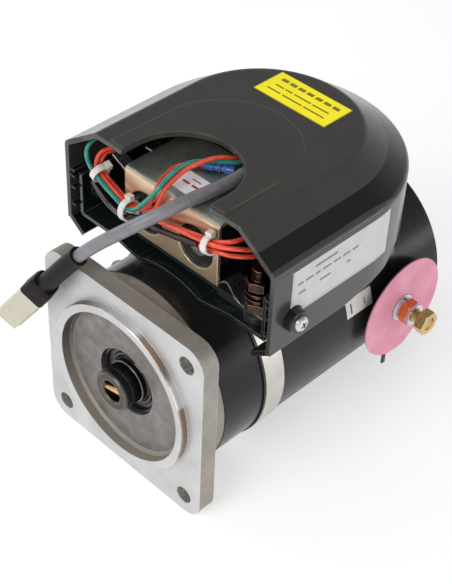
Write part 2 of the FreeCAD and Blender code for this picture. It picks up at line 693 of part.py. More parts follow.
def power_studs():
    """Four copper contact studs through the rear wall, each with its nut outside."""
    pieces = []
    for x in CONTACT_STUD_X:
        head = disc_y(5.0, 93.4, 96.0, x, COIL_Z)
        shank = disc_y(STUD_R, 96.0, 120.0, x, COIL_Z)
        pieces.append(head.fuse(shank))
        pieces.append(hex_nut_y(110.3, 6.5, 12.5, STUD_R + 0.02, x, COIL_Z))
    return group(pieces)


def busbar():
    """Brass bar across the two inner studs, and the brass earth strip on the chamber's top."""
    bar = box(-16, 16, 108.05, 110.25, COIL_Z - 6.5, COIL_Z + 6.5)
    for x in CONTACT_STUD_X[1:3]:
        bar = bar.cut(disc_y(STUD_R + 0.1, 107, 112, x, COIL_Z))
    strip = box(-29, 8.5, 84.0, 87.0, 106.05, 108.6)
    return group([bar, strip])


def side_stud():
    """Battery stud beside the right coil, with its lug rings and nuts."""
    stud = cylinder(V(SIDE_STUD_X, SIDE_STUD_Y, 64.1), AXIS_Z, STUD_R, 27.0)
    nuts = [hex_nut_z(z, 5.4, NUT_FLATS, STUD_R + 0.02, SIDE_STUD_X, SIDE_STUD_Y)
            for z in (66.0, 79.6)]
    lugs = [cylinder(V(SIDE_STUD_X, SIDE_STUD_Y, z), AXIS_Z, 6.9, 1.6)
            .cut(cylinder(V(SIDE_STUD_X, SIDE_STUD_Y, z - 1), AXIS_Z, STUD_R + 0.05, 4))
            for z in (72.6, 76.2)]
    return group([stud] + nuts + lugs)


def tinned_strap():
    """Tinned copper strap from the right coil's frame over to the battery stud."""
    y0, y1 = 37.0, 47.0
    thick = 1.4
    line = [(31.0, 66.4), (34.2, 71.2), (37.4, 72.6), (40.2, 70.0), (43.0, 66.4), (47.0, 64.3),
            (64.0, 64.3)]
    lower = [V(x, y0, z) for x, z in line]
    upper = [V(x, y0, z + thick) for x, z in reversed(line)]
    strap = polygon_face(lower + upper).extrude(V(0, y1 - y0, 0))
    return strap.cut(cylinder(V(SIDE_STUD_X, SIDE_STUD_Y, 60), AXIS_Z, STUD_R + 0.05, 10))


def spade_terminals():
    """Tinned tabs on the frame's left end that the control wires push on to."""
    front_tab = polygon_face([V(-33.65, 37.5, 101.0), V(-38.0, 37.5, 101.8),
                              V(-47.0, 37.5, 106.2), V(-47.0, 37.5, 105.2),
                              V(-38.0, 37.5, 100.8), V(-33.65, 37.5, 100.0)])
    rear_tab = box(-44.5, -33.65, 58.0, 66.0, 101.4, 102.3)
    return group([front_tab.extrude(V(0, 7.0, 0)), rear_tab])


# ---------------------------------------------------------------- cover
def cover_profile(half, top_half, shoulder_z, top_z, radius):
    """Half outline of the cover's section, in (distance from middle, z)."""
    bottom = 40.0
    points = [V(0, 0, bottom), V(half, 0, bottom), V(half, 0, shoulder_z),
              V(top_half, 0, top_z), V(0, 0, top_z)]
    rounded = rounded_wire(points[1:], radius, closed=False)
    closing = Part.makePolygon([points[-1], points[0], points[1]]).Edges
    return Part.Face(Part.Wire(rounded.Edges + closing))


def cover_body(half, top_half, shoulder_z, top_z, radius, front_y):
    """Solid block of the cover's outline: straight in front, half round behind."""
    profile = cover_profile(half, top_half, shoulder_z, top_z, radius)
    right = moved(profile, 0, front_y, 0).extrude(V(0, COVER_ARC_Y - front_y, 0))
    rear = moved(profile, 0, COVER_ARC_Y, 0).revolve(V(0, COVER_ARC_Y, 0), AXIS_Z, 180.0)
    return fused([right, mirrored_x(right), rear])


def plan_slot(radius, arc_y, z0, z1, front_y=0.0):
    """Straight-sided slot that opens to the front and ends in a half circle."""
    straight = box(-radius, radius, front_y, arc_y, z0, z1)
    return straight.fuse(cylinder(V(0, arc_y, z0), AXIS_Z, radius, z1 - z0))


def raised_pad():
    """Flat pad round the notch; its top slopes down to the rear until it is almost flush."""
    low, high = COVER_TOP_Z + PAD_RISE_REAR, COVER_TOP_Z + PAD_RISE_FRONT
    pad = plan_slot(PAD_R, PAD_ARC_Y, COVER_TOP_Z - 1, COVER_TOP_Z + 3, PAD_FRONT_Y)
    above = polygon_face([V(-60, 25, high), V(-60, PAD_ARC_Y, low), V(-60, 130, low),
                          V(-60, 130, 130), V(-60, 25, 130)]).extrude(V(120, 0, 0))
    return pad.cut(above)


def cover():
    slope = math.atan2(COVER_TOP_Z - COVER_SHOULDER_Z, COVER_HALF - COVER_TOP_HALF)
    inner_half = COVER_HALF - COVER_WALL
    inner_top = COVER_TOP_Z - COVER_WALL
    drop = COVER_WALL * math.tan((math.pi / 2 - slope) / 2)
    shoulder = COVER_SHOULDER_Z - drop
    inner_top_half = COVER_TOP_HALF - COVER_WALL * math.tan(slope / 2)
    outside = cover_body(COVER_HALF, COVER_TOP_HALF, COVER_SHOULDER_Z, COVER_TOP_Z, 4.0,
                         COVER_FRONT_Y)
    inside = cover_body(inner_half, inner_top_half, shoulder, inner_top, 2.5,
                        COVER_FRONT_Y - 5)
    shell = outside.cut(inside)
    below = polygon_face([V(-90, 20, 30), V(-90, 20, COVER_BOTTOM_Z), V(-90, 85, COVER_BOTTOM_Z),
                          V(-90, 118, 60.0), V(-90, 130, 66.0), V(-90, 190, 66.0),
                          V(-90, 190, 30)]).extrude(V(180, 0, 0))
    shell = shell.cut(below)
    shell = shell.fuse(raised_pad())
    shell = shell.cut(plan_slot(CUTOUT_R, CUTOUT_ARC_Y, 110.0, 125.0))
    lip = polygon_face([V(COVER_HALF, COVER_FRONT_Y, 58.0), V(COVER_HALF, COVER_FRONT_Y, 54.6),
                        V(64.2, COVER_FRONT_Y, 46.8), V(62.6, COVER_FRONT_Y, 49.1),
                        V(inner_half, COVER_FRONT_Y, 56.1), V(inner_half, COVER_FRONT_Y, 58.0)])
    lip = lip.extrude(V(0, 30.0, 0))
    extras = [lip, mirrored_x(lip)]
    for z in (86.5, 82.5, 75.0, 64.0):
        rib = box(inner_half - 3.2, inner_half + 0.1, COVER_FRONT_Y + 0.6, COVER_FRONT_Y + 9,
                  z - 0.6, z + 0.6)
        extras += [rib, mirrored_x(rib)]
    shell = shell.multiFuse(extras)
    for axis in (AXIS_X, -AXIS_X):
        shell = shell.cut(cylinder(V(0, COVER_SCREW_Y, COVER_SCREW_Z), axis, 6.0, 90))
    return shell.removeSplitter()


def on_cover_screw(shape_x):
    return both_sides(moved(shape_x, 0, COVER_SCREW_Y, COVER_SCREW_Z))


def cover_grommets():
    """Rubber bush through each side wall; it stands out under the screw's head."""
    inner = COVER_HALF - COVER_WALL
    return on_cover_screw(turned_x([(TRAY_HALF + 0.05, 2.7), (TRAY_HALF + 0.05, 7.0),
                                    (inner - 3.6, 7.0), (inner - 3.3, 5.9),
                                    (COVER_HALF + 0.05, 5.9), (COVER_HALF + 0.05, 6.6),
                                    (80.0, 6.6), (80.6, 6.0), (80.6, 2.7)]))


def cover_screws():
    """Cross-recessed pan head screws."""
    body = turned_x([(62.4, 0), (62.4, 2.55), (80.65, 2.55), (80.65, 4.2), (82.0, 4.1),
                     (82.9, 3.4), (83.4, 1.9), (83.5, 0)])
    for turn in (0, 90):
        arm = box(81.8, 85, -2.0, 2.0, -0.45, 0.45)
        arm.rotate(V(0, 0, 0), AXIS_X, turn + 20)
        body = body.cut(arm)
    return on_cover_screw(body)


def caution_label():
    """Plain yellow sheet on the cover's top."""
    label = box(-26.5, 23.5, 118.8, 141.3, 0, LABEL_THICK)
    return moved(label, 0, 0, COVER_TOP_Z + 0.02)


def rating_label():
    """White sheet on the right wall, running a little way round the rear curve."""
    inner = COVER_HALF + 0.02
    outer = inner + LABEL_THICK
    straight = box(inner, outer, 42.0, COVER_ARC_Y, 72.2, 100.2)
    wedge = polygon_face([V(outer, COVER_ARC_Y, 72.2), V(inner, COVER_ARC_Y, 72.2),
                          V(inner, COVER_ARC_Y, 100.2), V(outer, COVER_ARC_Y, 100.2)])
    curved = wedge.revolve(V(0, COVER_ARC_Y, 0), AXIS_Z, 11.0)
    round_screw = cylinder(V(70, COVER_SCREW_Y, COVER_SCREW_Z), AXIS_X, 7.2, 10)
    return straight.fuse(curved).cut(round_screw)


def yoke_label():
    """White tape on the yoke's right side, beside the terminal."""
    face = polygon_face([V(YOKE_R + 0.02, 115.3, 0), V(YOKE_R + 0.02, 136.2, 0),
                         V(YOKE_R + 0.27, 136.2, 0), V(YOKE_R + 0.27, 115.3, 0)])
    return spun_y(face.revolve(V(0, 0, 0), AXIS_Y, -11.0), -12.0)


def white_labels():
    coil_label = box(-8.0, 9.5, 40.0, 55.0, FRAME_Z1 + 0.02, FRAME_Z1 + 0.02 + LABEL_THICK)
    return group([rating_label(), yoke_label(), coil_label])


# ---------------------------------------------------------------- wires
GREEN_ROUTE = [(-61.5, 50, 104), (-60.5, 42, 108), (-60.5, 36, 108.5), (-61, 32.5, 105.5),
               (-60, 31, 101.5), (-56.5, 29.5, 99), (-51, 27.5, 98.5), (-46.5, 27.5, 96),
               (-39.5, 26.5, 94), (-32, 26.5, 91.5), (-26.5, 26, 90), (-20.5, 26, 91),
               (-15, 25.5, 95.5), (-10.5, 26, 101.5), (-6, 27, 107.5), (-3, 29, 113),
               (-4, 34.5, 115), (-3.5, 39, 117.5), (-3.5, 43.5, 118.5), (-2.5, 48, 119),
               (-1.5, 53, 118.5), (-1, 60, 115.5), (3, 64.5, 115), (7.5, 68.5, 114.5),
               (10, 73, 114), (9, 79.5, 112.5)]
RED_ROUTES = [
    [(-51, 45.5, 105), (-54, 38.5, 105), (-55, 35, 102.5), (-54, 32.5, 100), (-52, 30.5, 98),
     (-47.5, 30, 96.5), (-42, 29.5, 95), (-36, 29, 93), (-30.5, 29, 90.5), (-25, 28.5, 90),
     (-20, 28.5, 91), (-16, 29.5, 92.5), (-12, 30.5, 96), (-9.5, 31, 102.5), (-7, 31, 110),
     (-10, 37, 110.5), (-12.5, 44.5, 110.5), (-13, 50.5, 110.5), (-11, 55.5, 110.5),
     (-9, 58, 110.5), (-4.5, 61, 110.5)],
    [(-51.5, 47.5, 101.5), (-52.5, 43.5, 102.5), (-54, 40, 102.5), (-54, 37.5, 101),
     (-53.5, 35, 98.5), (-51.5, 33.5, 97), (-47.5, 32.5, 96), (-42.5, 32.5, 93.5),
     (-37, 32.5, 91.5), (-31.5, 31.5, 90), (-26, 31.5, 89.5), (-15.5, 31.5, 91), (-10, 31.5, 94),
     (-6, 31, 100), (-3.5, 30.5, 106), (-1, 30.5, 112), (-1.5, 34.5, 113.5), (-1.5, 39.5, 115.5),
     (-1, 44.5, 117.5), (0.5, 49, 119), (1.5, 55, 119), (2.5, 61, 118.5), (4, 67, 117),
     (6.5, 72.5, 114.5), (6, 79, 113.5)],
]
LOWER_RED_ROUTES = [
    [(-11, 31.5, 88.5), (6, 31.5, 93), (14, 31, 95.5), (21.5, 31, 97.5), (34, 30.5, 101),
     (40, 30.5, 104), (44, 32.5, 105.5), (45.5, 36.5, 105.5), (45, 42.5, 104), (43, 50.5, 100.5)],
    [(-11.5, 29.5, 90), (-3, 29, 92.5), (6, 28, 95), (14, 28, 97), (28.5, 27.5, 100),
     (38.5, 27.5, 102.5), (44, 28.5, 104), (48.5, 31.5, 104.5), (51, 36, 103), (51.5, 42.5, 100),
     (49, 51.5, 95)],
    [(26, 29, 94.5), (34, 29, 96.5), (38, 29.5, 97.5), (42.5, 31, 97.5), (46.5, 34.5, 97),
     (49.5, 39, 96), (50, 45.5, 93.5), (49, 53.5, 89.5)],
]
DARK_ROUTES = [
    [(-11.5, 31, 84.5), (-5.5, 30.5, 85), (1.5, 30.5, 87), (14.5, 29.5, 91), (25, 29, 94.5)],
    [(-57.5, 33, 85), (-46, 29.5, 83.5), (-33.5, 27, 82.5), (-26.5, 26, 85), (-20.5, 26, 87),
     (-16, 28, 88)],
]
DIODE_R = 1.9


def green_wire():
    return tube_along("green wire", GREEN_ROUTE, WIRE_R)


def red_wires():
    return group([tube_along("red wire %d" % (k + 1), route, WIRE_R)
                  for k, route in enumerate(RED_ROUTES + LOWER_RED_ROUTES)])


def diode_sleeves():
    """Suppression diodes in black sleeving."""
    return group([tube_along("diode sleeve %d" % (k + 1), route, DIODE_R)
                  for k, route in enumerate(DARK_ROUTES)])


def crimp_connector():
    """Blue insulated butt connector lying on the frame's top, with its crimped waist."""
    start, end = V(-4.1, 61.3, 110.5), V(9.5, 69, 110.5)
    axis = end - start
    length = axis.Length
    direction = axis.normalize()
    profile = [(0, 0), (2.3, 0), (2.4, 0.12), (2.4, 0.3), (1.9, 0.36), (1.9, 0.46), (2.4, 0.5),
               (2.4, 0.54), (1.9, 0.58), (1.9, 0.66), (2.4, 0.72), (2.4, 0.9), (2.3, 1), (0, 1)]
    face = polygon_face([V(radius, 0, t * length) for radius, t in profile])
    solid = face.revolve(V(0, 0, 0), AXIS_Z, 360)
    solid.Placement = FreeCAD.Placement(start, FreeCAD.Rotation(AXIS_Z, direction))
    return solid


def tie_ring(centre, direction, inner, width, head_at):
    """Cable tie: a band round the bundle, with its square head."""
    outer = inner + 0.9
    centre = V(*centre)
    direction = V(*direction).normalize()
    base = centre - direction * (width / 2)
    ring = cylinder(base, direction, outer, width).cut(
        cylinder(base - direction, direction, inner, width + 2))
    head = Part.makeBox(3.2, 3.2, width + 0.4, V(-1.6, -1.6, -(width + 0.4) / 2))
    side = V(*head_at)
    side = (side - direction * side.dot(direction)).normalize()
    head.Placement = FreeCAD.Placement(centre + side * (outer + 0.6),
                                       FreeCAD.Rotation(AXIS_Z, direction))
    head = head.cut(cylinder(base - direction, direction, inner, width + 2))
    return ring.fuse(head)


def wire_ties():
    return group([
        tie_ring((-48.8, 30.3, 96.7), (0.93, -0.12, -0.34), 4.25, 3.6, (0, 0.7, 0.7)),
        tie_ring((-24.7, 28.4, 87.6), (0.99, -0.02, 0.12), 5.25, 3.8, (0, 0.2, 1)),
        tie_ring((32.7, 28.8, 98.9), (0.97, 0.02, 0.23), 4.0, 3.8, (0, 0.35, 1)),
    ])


# ---------------------------------------------------------------- control cable
CABLE_ROUTE = [(16.0, 90.0, 112.2), (16.4, 69.0, 112.3), (15.4, 48.0, 112.2),
               (12.2, 31.3, 112.0), (9.2, 22.2, 109.6), (4.7, 14.7, 105.9), (-1.6, 8.0, 100.2),
               (-9.6, 2.6, 92.7), (-19.5, -1.5, 82.6), (-29.9, -4.3, 70.4), (-39.9, -7.1, 56.8),
               (-51.2, -10.2, 41.1)]
SLEEVE_RUNS = 3              # the black sleeve covers part of the last three runs
SLEEVE_MOUTH = 0.72          # its mouth, as a fraction of the first of them


def cable_end():
    """End point of the cable and the direction in which it points."""
    last = V(*CABLE_ROUTE[-1])
    return last, (last - V(*CABLE_ROUTE[-2])).normalize()


def connector_placement(offset):
    """Local Z along the cable; local X across the connector's wide face."""
    end, direction = cable_end()
    across = V(0.79, 0.30, -0.6)
    across = (across - direction * across.dot(direction)).normalize()
    through = direction.cross(across)
    rotation = FreeCAD.Rotation(across, through, direction)
    return FreeCAD.Placement(end + direction * offset, rotation)


def control_cable():
    return tube_along("control cable", CABLE_ROUTE, CABLE_R)


def sleeve_mouth():
    """Placement at the sleeve's open end, with local Z along the cable."""
    start, end = V(*CABLE_ROUTE[-SLEEVE_RUNS - 1]), V(*CABLE_ROUTE[-SLEEVE_RUNS])
    run = end - start
    return FreeCAD.Placement(start + run * SLEEVE_MOUTH, FreeCAD.Rotation(AXIS_Z, run))


def cable_sleeve():
    """Heat-shrink sleeve over the cable, with a flat boot round the connector."""
    edges, _ = route_edges([V(*p) for p in CABLE_ROUTE])
    covered = edges[-(2 * SLEEVE_RUNS + 1):]
    tube = swept(covered, SLEEVE_TUBE_R)
    trim = box(-30, 30, -30, 30, -60, 0)
    trim.Placement = sleeve_mouth()
    tube = tube.cut(trim)
    outlines = []
    for z, grow_w, grow_t in ((-6.0, -0.2, 0.5), (-3.0, 0.5, 0.9), (7.0, 0.8, 1.0)):
        half_w, half_t = CONNECTOR_WIDTH / 2 + grow_w, CONNECTOR_THICK / 2 + grow_t
        corners = [V(-half_w, -half_t, z), V(half_w, -half_t, z), V(half_w, half_t, z),
                   V(-half_w, half_t, z)]
        outlines.append(rounded_wire(corners, 2.4))
    boot = Part.makeLoft(outlines, True, True)
    pocket = box(-CONNECTOR_WIDTH / 2 - 0.05, CONNECTOR_WIDTH / 2 + 0.05,
                 -CONNECTOR_THICK / 2 - 0.05, CONNECTOR_THICK / 2 + 0.05, -0.02, 12)
    boot.Placement = connector_placement(0)
    pocket.Placement = connector_placement(0)
    bore = swept(edges[-(2 * SLEEVE_RUNS + 3):], CABLE_R + 0.05)
    return tube.fuse(boot).cut(bore).cut(pocket)


def cable_connector():
    """Natural nylon plug housing with its latch rib and contact cavities."""
    half_w, half_t = CONNECTOR_WIDTH / 2, CONNECTOR_THICK / 2
    corners = [V(-half_w, -half_t, 0), V(half_w, -half_t, 0), V(half_w, half_t, 0),
               V(-half_w, half_t, 0)]
    body = Part.Face(rounded_wire(corners, 1.0)).extrude(V(0, 0, CONNECTOR_LENGTH))
    latch = box(-2.4, 2.4, -half_t - 1.5, -half_t + 0.1, 12, CONNECTOR_LENGTH - 4)
    key = box(half_w - 0.5, half_w + 0.9, -2.0, 2.0, 16, CONNECTOR_LENGTH - 2)
    body = body.multiFuse([latch, key])
    for x in (-3.2, 3.2):
        for y in (-2.2, 2.2):
            cavity = box(x - 1.6, x + 1.6, y - 1.3, y + 1.3, CONNECTOR_LENGTH - 12,
                         CONNECTOR_LENGTH + 1)
            body = body.cut(cavity)
    body = body.removeSplitter()
    body.Placement = connector_placement(0.02)
    return body


# ---------------------------------------------------------------- the nodes
def build_nodes():
    nodes = {
        "drive_end_flange": drive_end_flange(),
        "shaft_seal": shaft_seal(),
        "front_circlip": front_circlip(),
        "bearing_outer_rings": group([outer_ring(FRONT_BEARING), outer_ring(REAR_BEARING)]),
        "yoke_tube": yoke_tube(),
        "field_magnets": field_magnets(),
        "rear_end_cap": rear_end_cap(),
        "rear_wave_washer": rear_wave_washer(),
        "through_bolts": through_bolts(),
        "brush_plate": brush_plate(),
        "brush_holders": group(at_brush_angles(brush_holder_at_zero())),
        "brush_springs": group(at_brush_angles(brush_spring_at_zero())),
        "terminal_studs": terminal_studs(),
        "terminal_bushes": terminal_bushes(),
        "terminal_discs": terminal_discs(),
        "terminal_washers": terminal_washers(),
        "terminal_nuts": terminal_nuts(),
        "terminal_tie": terminal_tie(),
        "strap_band": strap_band(),
        "strap_liner": strap_liner(),
        "strap_screw": strap_screw(),
        "contactor_tray": contactor_tray(),
        "contactor_frame": contactor_frame(),
        "contactor_coils": contactor_coils(),
        "contact_housing": contact_housing(),
        "power_studs": power_studs(),
        "busbar": busbar(),
        "side_stud": side_stud(),
        "tinned_strap": tinned_strap(),
        "spade_terminals": spade_terminals(),
        "cover": cover(),
        "cover_grommets": cover_grommets(),
        "cover_screws": cover_screws(),
        "caution_label": caution_label(),
        "white_labels": white_labels(),
        "wire_ties": wire_ties(),
        "green_wire": green_wire(),
        "red_wires": red_wires(),
        "diode_sleeves": diode_sleeves(),
        "crimp_connector": crimp_connector(),
        "control_cable": control_cable(),
        "cable_sleeve": cable_sleeve(),
        "cable_connector": cable_connector(),
        "motor_shaft": motor_shaft(),
        "coupling_sleeve": coupling_sleeve(),
        "coupling_band": coupling_band(),
        "drive_pin": drive_pin(),
        "bearing_inner_rings": group([inner_ring(FRONT_BEARING), inner_ring(REAR_BEARING)]),
        "armature_core": armature_core(),
        "armature_winding": armature_winding(),
        "commutator": commutator(),
        "commutator_hub": commutator_hub(),
        "front_bearing_balls": balls_and_cage(FRONT_BEARING),
        "rear_bearing_balls": balls_and_cage(REAR_BEARING),
    }
    for number, brush in enumerate(at_brush_angles(brush_at_zero()), start=1):
        nodes["brush_%d" % number] = brush
    for side, x in (("left", -COIL_X), ("right", COIL_X)):
        nodes["plunger_" + side] = group([plunger(x), contact_bridge(x)])
    return nodes


def main():
    os.makedirs("parts", exist_ok=True)
    for name, shape in build_nodes().items():
        valid = shape.isValid() and all(solid.isValid() for solid in shape.Solids)
        print("%-22s solids %2d  valid %s  volume %9.0f"
              % (name, len(shape.Solids), valid, shape.Volume))
        shape.exportStep(os.path.join("parts", name + ".step"))


main()
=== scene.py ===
import math

import bpy
from mathutils import Matrix, Vector


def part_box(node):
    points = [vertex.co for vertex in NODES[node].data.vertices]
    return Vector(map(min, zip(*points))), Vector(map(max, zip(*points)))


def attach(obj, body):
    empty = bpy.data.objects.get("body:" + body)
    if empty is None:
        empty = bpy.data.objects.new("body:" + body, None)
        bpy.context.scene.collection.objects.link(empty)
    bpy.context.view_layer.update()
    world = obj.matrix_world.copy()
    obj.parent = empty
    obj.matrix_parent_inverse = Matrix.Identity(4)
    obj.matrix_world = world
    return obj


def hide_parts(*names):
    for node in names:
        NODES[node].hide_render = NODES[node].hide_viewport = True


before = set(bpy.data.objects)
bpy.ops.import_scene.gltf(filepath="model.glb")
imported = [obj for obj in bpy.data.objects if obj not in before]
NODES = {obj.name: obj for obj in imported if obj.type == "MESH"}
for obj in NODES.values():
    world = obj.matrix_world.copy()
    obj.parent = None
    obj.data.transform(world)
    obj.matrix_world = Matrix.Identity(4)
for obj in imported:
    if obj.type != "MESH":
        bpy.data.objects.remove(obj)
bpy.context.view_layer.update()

MM = 0.001


# ------------------------------------------------------------------ camera
AZIMUTH, ELEVATION, ROLL = 43.22, 41.28, 2.64
CAMERA_AT = Vector((390.5, -338.8, 519.8)) * MM
LENS_MM, SENSOR_MM = 85.1, 36.0
CLIP_NEAR, CLIP_FAR = 0.01, 20


def place_camera():
    """The camera at the photograph's angle, with its small roll."""
    az, el, roll = (math.radians(a) for a in (AZIMUTH, ELEVATION, ROLL))
    back = Vector((math.sin(az) * math.cos(el), -math.cos(az) * math.cos(el), math.sin(el)))
    right = Vector((math.cos(az), math.sin(az), 0))
    up = back.cross(right)
    turned_right = math.cos(roll) * right + math.sin(roll) * up
    turned_up = -math.sin(roll) * right + math.cos(roll) * up
    data = bpy.data.cameras.new("camera")
    data.lens, data.sensor_width, data.sensor_fit = LENS_MM, SENSOR_MM, "AUTO"
    data.clip_start, data.clip_end = CLIP_NEAR, CLIP_FAR
    camera = bpy.data.objects.new("camera", data)
    bpy.context.scene.collection.objects.link(camera)
    rotation = Matrix((turned_right, turned_up, back)).transposed()
    camera.matrix_world = Matrix.Translation(CAMERA_AT) @ rotation.to_4x4()
    bpy.context.scene.camera = camera


place_camera()


# ------------------------------------------------------------------ shader nodes
class Shader:
    """A material's node tree, with short ways to add the nodes used here."""

    SOCKETS = {"color": "Base Color", "rough": "Roughness", "metal": "Metallic",
               "spec": "Specular IOR Level", "coat": "Coat Weight",
               "coat_rough": "Coat Roughness", "normal": "Normal",
               "sss": "Subsurface Weight", "sss_radius": "Subsurface Radius",
               "sss_scale": "Subsurface Scale",
               "emission": "Emission Color", "glow": "Emission Strength"}

    def __init__(self, name, **uniform):
        self.material = bpy.data.materials.new(name)
        self.material.use_nodes = True
        self.tree = self.material.node_tree
        self.bsdf = self.tree.nodes["Principled BSDF"]
        self.coords = self.tree.nodes.new("ShaderNodeTexCoord")
        self.set(**uniform)

    def feed(self, socket, value):
        """Links a socket, or sets it to a number, a vector or a colour."""
        if isinstance(value, bpy.types.NodeSocket):
            self.tree.links.new(value, socket)
        elif socket.type == "RGBA":
            socket.default_value = (*value, 1.0)
        else:
            socket.default_value = value

    def set(self, **values):
        for key, value in values.items():
            self.feed(self.bsdf.inputs[self.SOCKETS[key]], value)
        return self

    def node(self, kind, inputs=None, **props):
        node = self.tree.nodes.new(kind)
        for key, value in props.items():
            setattr(node, key, value)
        for key, value in (inputs or {}).items():
            self.feed(node.inputs[key], value)
        return node

    def stretched(self, *scale):
        """Object coordinates, stretched along each axis."""
        return self.node("ShaderNodeMapping", {"Vector": self.coords.outputs["Object"],
                                               "Scale": scale}).outputs["Vector"]

    def noise(self, scale, detail=3.0, rough=0.55, at=None):
        vector = at or self.coords.outputs["Object"]
        return self.node("ShaderNodeTexNoise", {"Vector": vector, "Scale": scale,
                                                "Detail": detail,
                                                "Roughness": rough}).outputs["Fac"]

    def cells(self, scale):
        """Distance from the nearest of many scattered points."""
        vector = self.coords.outputs["Object"]
        return self.node("ShaderNodeTexVoronoi", {"Vector": vector,
                                                  "Scale": scale}).outputs["Distance"]

    def ramp(self, value, low, high, out_low=0.0, out_high=1.0):
        """A straight change between two values, held level outside them."""
        return self.node("ShaderNodeMapRange", {"Value": value, "From Min": low,
                                                "From Max": high, "To Min": out_low,
                                                "To Max": out_high},
                         clamp=True).outputs["Result"]

    def math(self, operation, *values):
        node = self.node("ShaderNodeMath", operation=operation)
        for socket, value in zip(node.inputs, values):
            self.feed(socket, value)
        return node.outputs[0]

    def both(self, a, b):
        """Where both masks are 1."""
        return self.math("MULTIPLY", a, b)

    def mix(self, factor, a, b):
        node = self.node("ShaderNodeMix", data_type="RGBA")
        for index, value in ((0, factor), (6, a), (7, b)):
            self.feed(node.inputs[index], value)
        return node.outputs[2]

    def bump(self, height, strength=0.2, distance=0.0001, normal=None):
        inputs = {"Height": height, "Strength": strength, "Distance": distance}
        if normal is not None:
            inputs["Normal"] = normal
        return self.node("ShaderNodeBump", inputs).outputs["Normal"]

    def axis(self, index, source="Object"):
        """One coordinate of the position, or of the surface's normal."""
        split = self.node("ShaderNodeSeparateXYZ", {"Vector": self.coords.outputs[source]})
        return split.outputs[index]

    def soft_edges(self, radius=0.0004):
        """A normal that rounds the sharp edges over."""
        return self.node("ShaderNodeBevel", {"Radius": radius}, samples=4).outputs[0]

    def edges(self, radius=0.0006, low=0.02, high=0.2):
        """1 along the sharp edges of the shape, 0 elsewhere."""
        geometry = self.node("ShaderNodeNewGeometry")
        dot = self.node("ShaderNodeVectorMath", operation="DOT_PRODUCT")
        self.tree.links.new(self.soft_edges(radius), dot.inputs[0])
        self.tree.links.new(geometry.outputs["Normal"], dot.inputs[1])
        return self.ramp(self.math("SUBTRACT", 1.0, dot.outputs["Value"]), low, high)

    def bars(self, u, v, rows):
        """1 on plain bars: each row is a middle, a height and (start, end) pairs, in mm."""
        total = 0.0
        for middle, height, spans in rows:
            along = 0.0
            for start, end in spans:
                span = self.math("COMPARE", u, (start + end) / 2 * MM, (end - start) / 2 * MM)
                along = self.math("ADD", span, along)
            row = self.math("COMPARE", v, middle * MM, height / 2 * MM)
            total = self.math("ADD", self.both(row, along), total)
        return self.math("MINIMUM", total, 1.0)


def dress(names, shader):
    """Gives the CAD nodes this material on every face."""
    for name in names.split():
        obj = NODES[name]
        obj.data.materials.clear()
        obj.data.materials.append(shader.material)


def scaled(color, factor):
    """The colour, darker or brighter."""
    return tuple(min(1.0, c * factor) for c in color)


# ------------------------------------------------------------------ general materials
def plastic(name, color, rough=0.4, grain=2500.0, grain_depth=0.12, tone=0.2, edge=0.12,
            **uniform):
    """Moulded plastic: fine grain, slight unevenness in tone and gloss, paler edges."""
    s = Shader(name, **uniform)
    cloud = s.ramp(s.noise(60.0, 4.0), 0.3, 0.7)
    base = s.mix(cloud, scaled(color, 1 - tone), scaled(color, 1 + tone))
    worn = s.both(s.edges(0.0005), s.ramp(s.noise(140.0, 4.0), 0.35, 0.65, 0.1, 0.5))
    s.set(color=s.mix(worn, base, tuple(c * 0.7 + edge for c in color)),
          rough=s.ramp(s.noise(180.0, 5.0), 0.3, 0.7, rough * 0.85, rough * 1.15),
          normal=s.bump(s.noise(grain, 3.0), grain_depth, 0.00004, s.soft_edges(0.0004)))
    return s


def metal(name, color, rough=0.3, tone=0.12, stretch=(1, 1, 1), scratch=900.0, depth=0.08,
          edge=None, dark=None):
    """Bare or plated metal with fine lines, cloudy tone, dark patches and worn edges."""
    s = Shader(name, metal=1.0)
    lines = s.noise(scratch, 4.0, 0.6, at=s.stretched(*stretch))
    cloud = s.ramp(s.noise(90.0, 4.0), 0.3, 0.7)
    base = s.mix(cloud, scaled(color, 1 - tone), scaled(color, 1 + tone))
    if dark is not None:
        base = s.mix(s.ramp(s.noise(160.0, 6.0, 0.65), 0.42, 0.62), base, dark)
    base = s.mix(s.edges(), base, edge or scaled(color, 1.35))
    s.set(color=base, rough=s.ramp(lines, 0.3, 0.7, rough * 0.75, rough * 1.3),
          normal=s.bump(lines, depth, 0.00004, s.soft_edges(0.0003)))
    return s


def gloss_paint(name, color, rough=0.2, edge=(0.03, 0.03, 0.03), coat=0.05):
    """Baked gloss enamel: faint orange peel, a few specks of dust, and the edge colour along the
    sharp edges: thin paint on the yoke, a painted highlight on the tray.
    """
    s = Shader(name, spec=0.22, coat=coat, coat_rough=0.08)
    specks = s.ramp(s.cells(260.0), 0.0, 0.055, 1.0, 0.0)
    few = s.both(specks, s.ramp(s.noise(45.0), 0.58, 0.66))
    haze = s.ramp(s.noise(25.0, 5.0), 0.35, 0.75)
    base = s.mix(haze, color, tuple(c * 1.7 + 0.002 for c in color))
    base = s.mix(s.both(few, 0.3), base, (0.45, 0.43, 0.4))
    s.set(color=s.mix(s.edges(0.0005), base, edge), rough=s.ramp(haze, 0, 1, rough, rough * 1.8),
          normal=s.bump(s.noise(420.0, 2.0), 0.1, 0.00005, s.soft_edges(0.0005)))
    return s


# ------------------------------------------------------------------ single materials
FRONT_FACE_Y = (0.6 * MM, 1.6 * MM)
RECESS_R = (45.2 * MM, 45.9 * MM)
PILOT_R, PILOT_BAND = 49.9 * MM, 0.5 * MM
PILOT_FRONT_Y = (-0.2 * MM, 0.2 * MM)
BOLT_HALF, BOLT_HOLE_R = 48 * MM, 5.4 * MM
# Heights over which the recess wall goes from painted light at the bottom to painted shade at the
# top.
RECESS_WALL_SHADE_Z = (-30 * MM, 10 * MM)


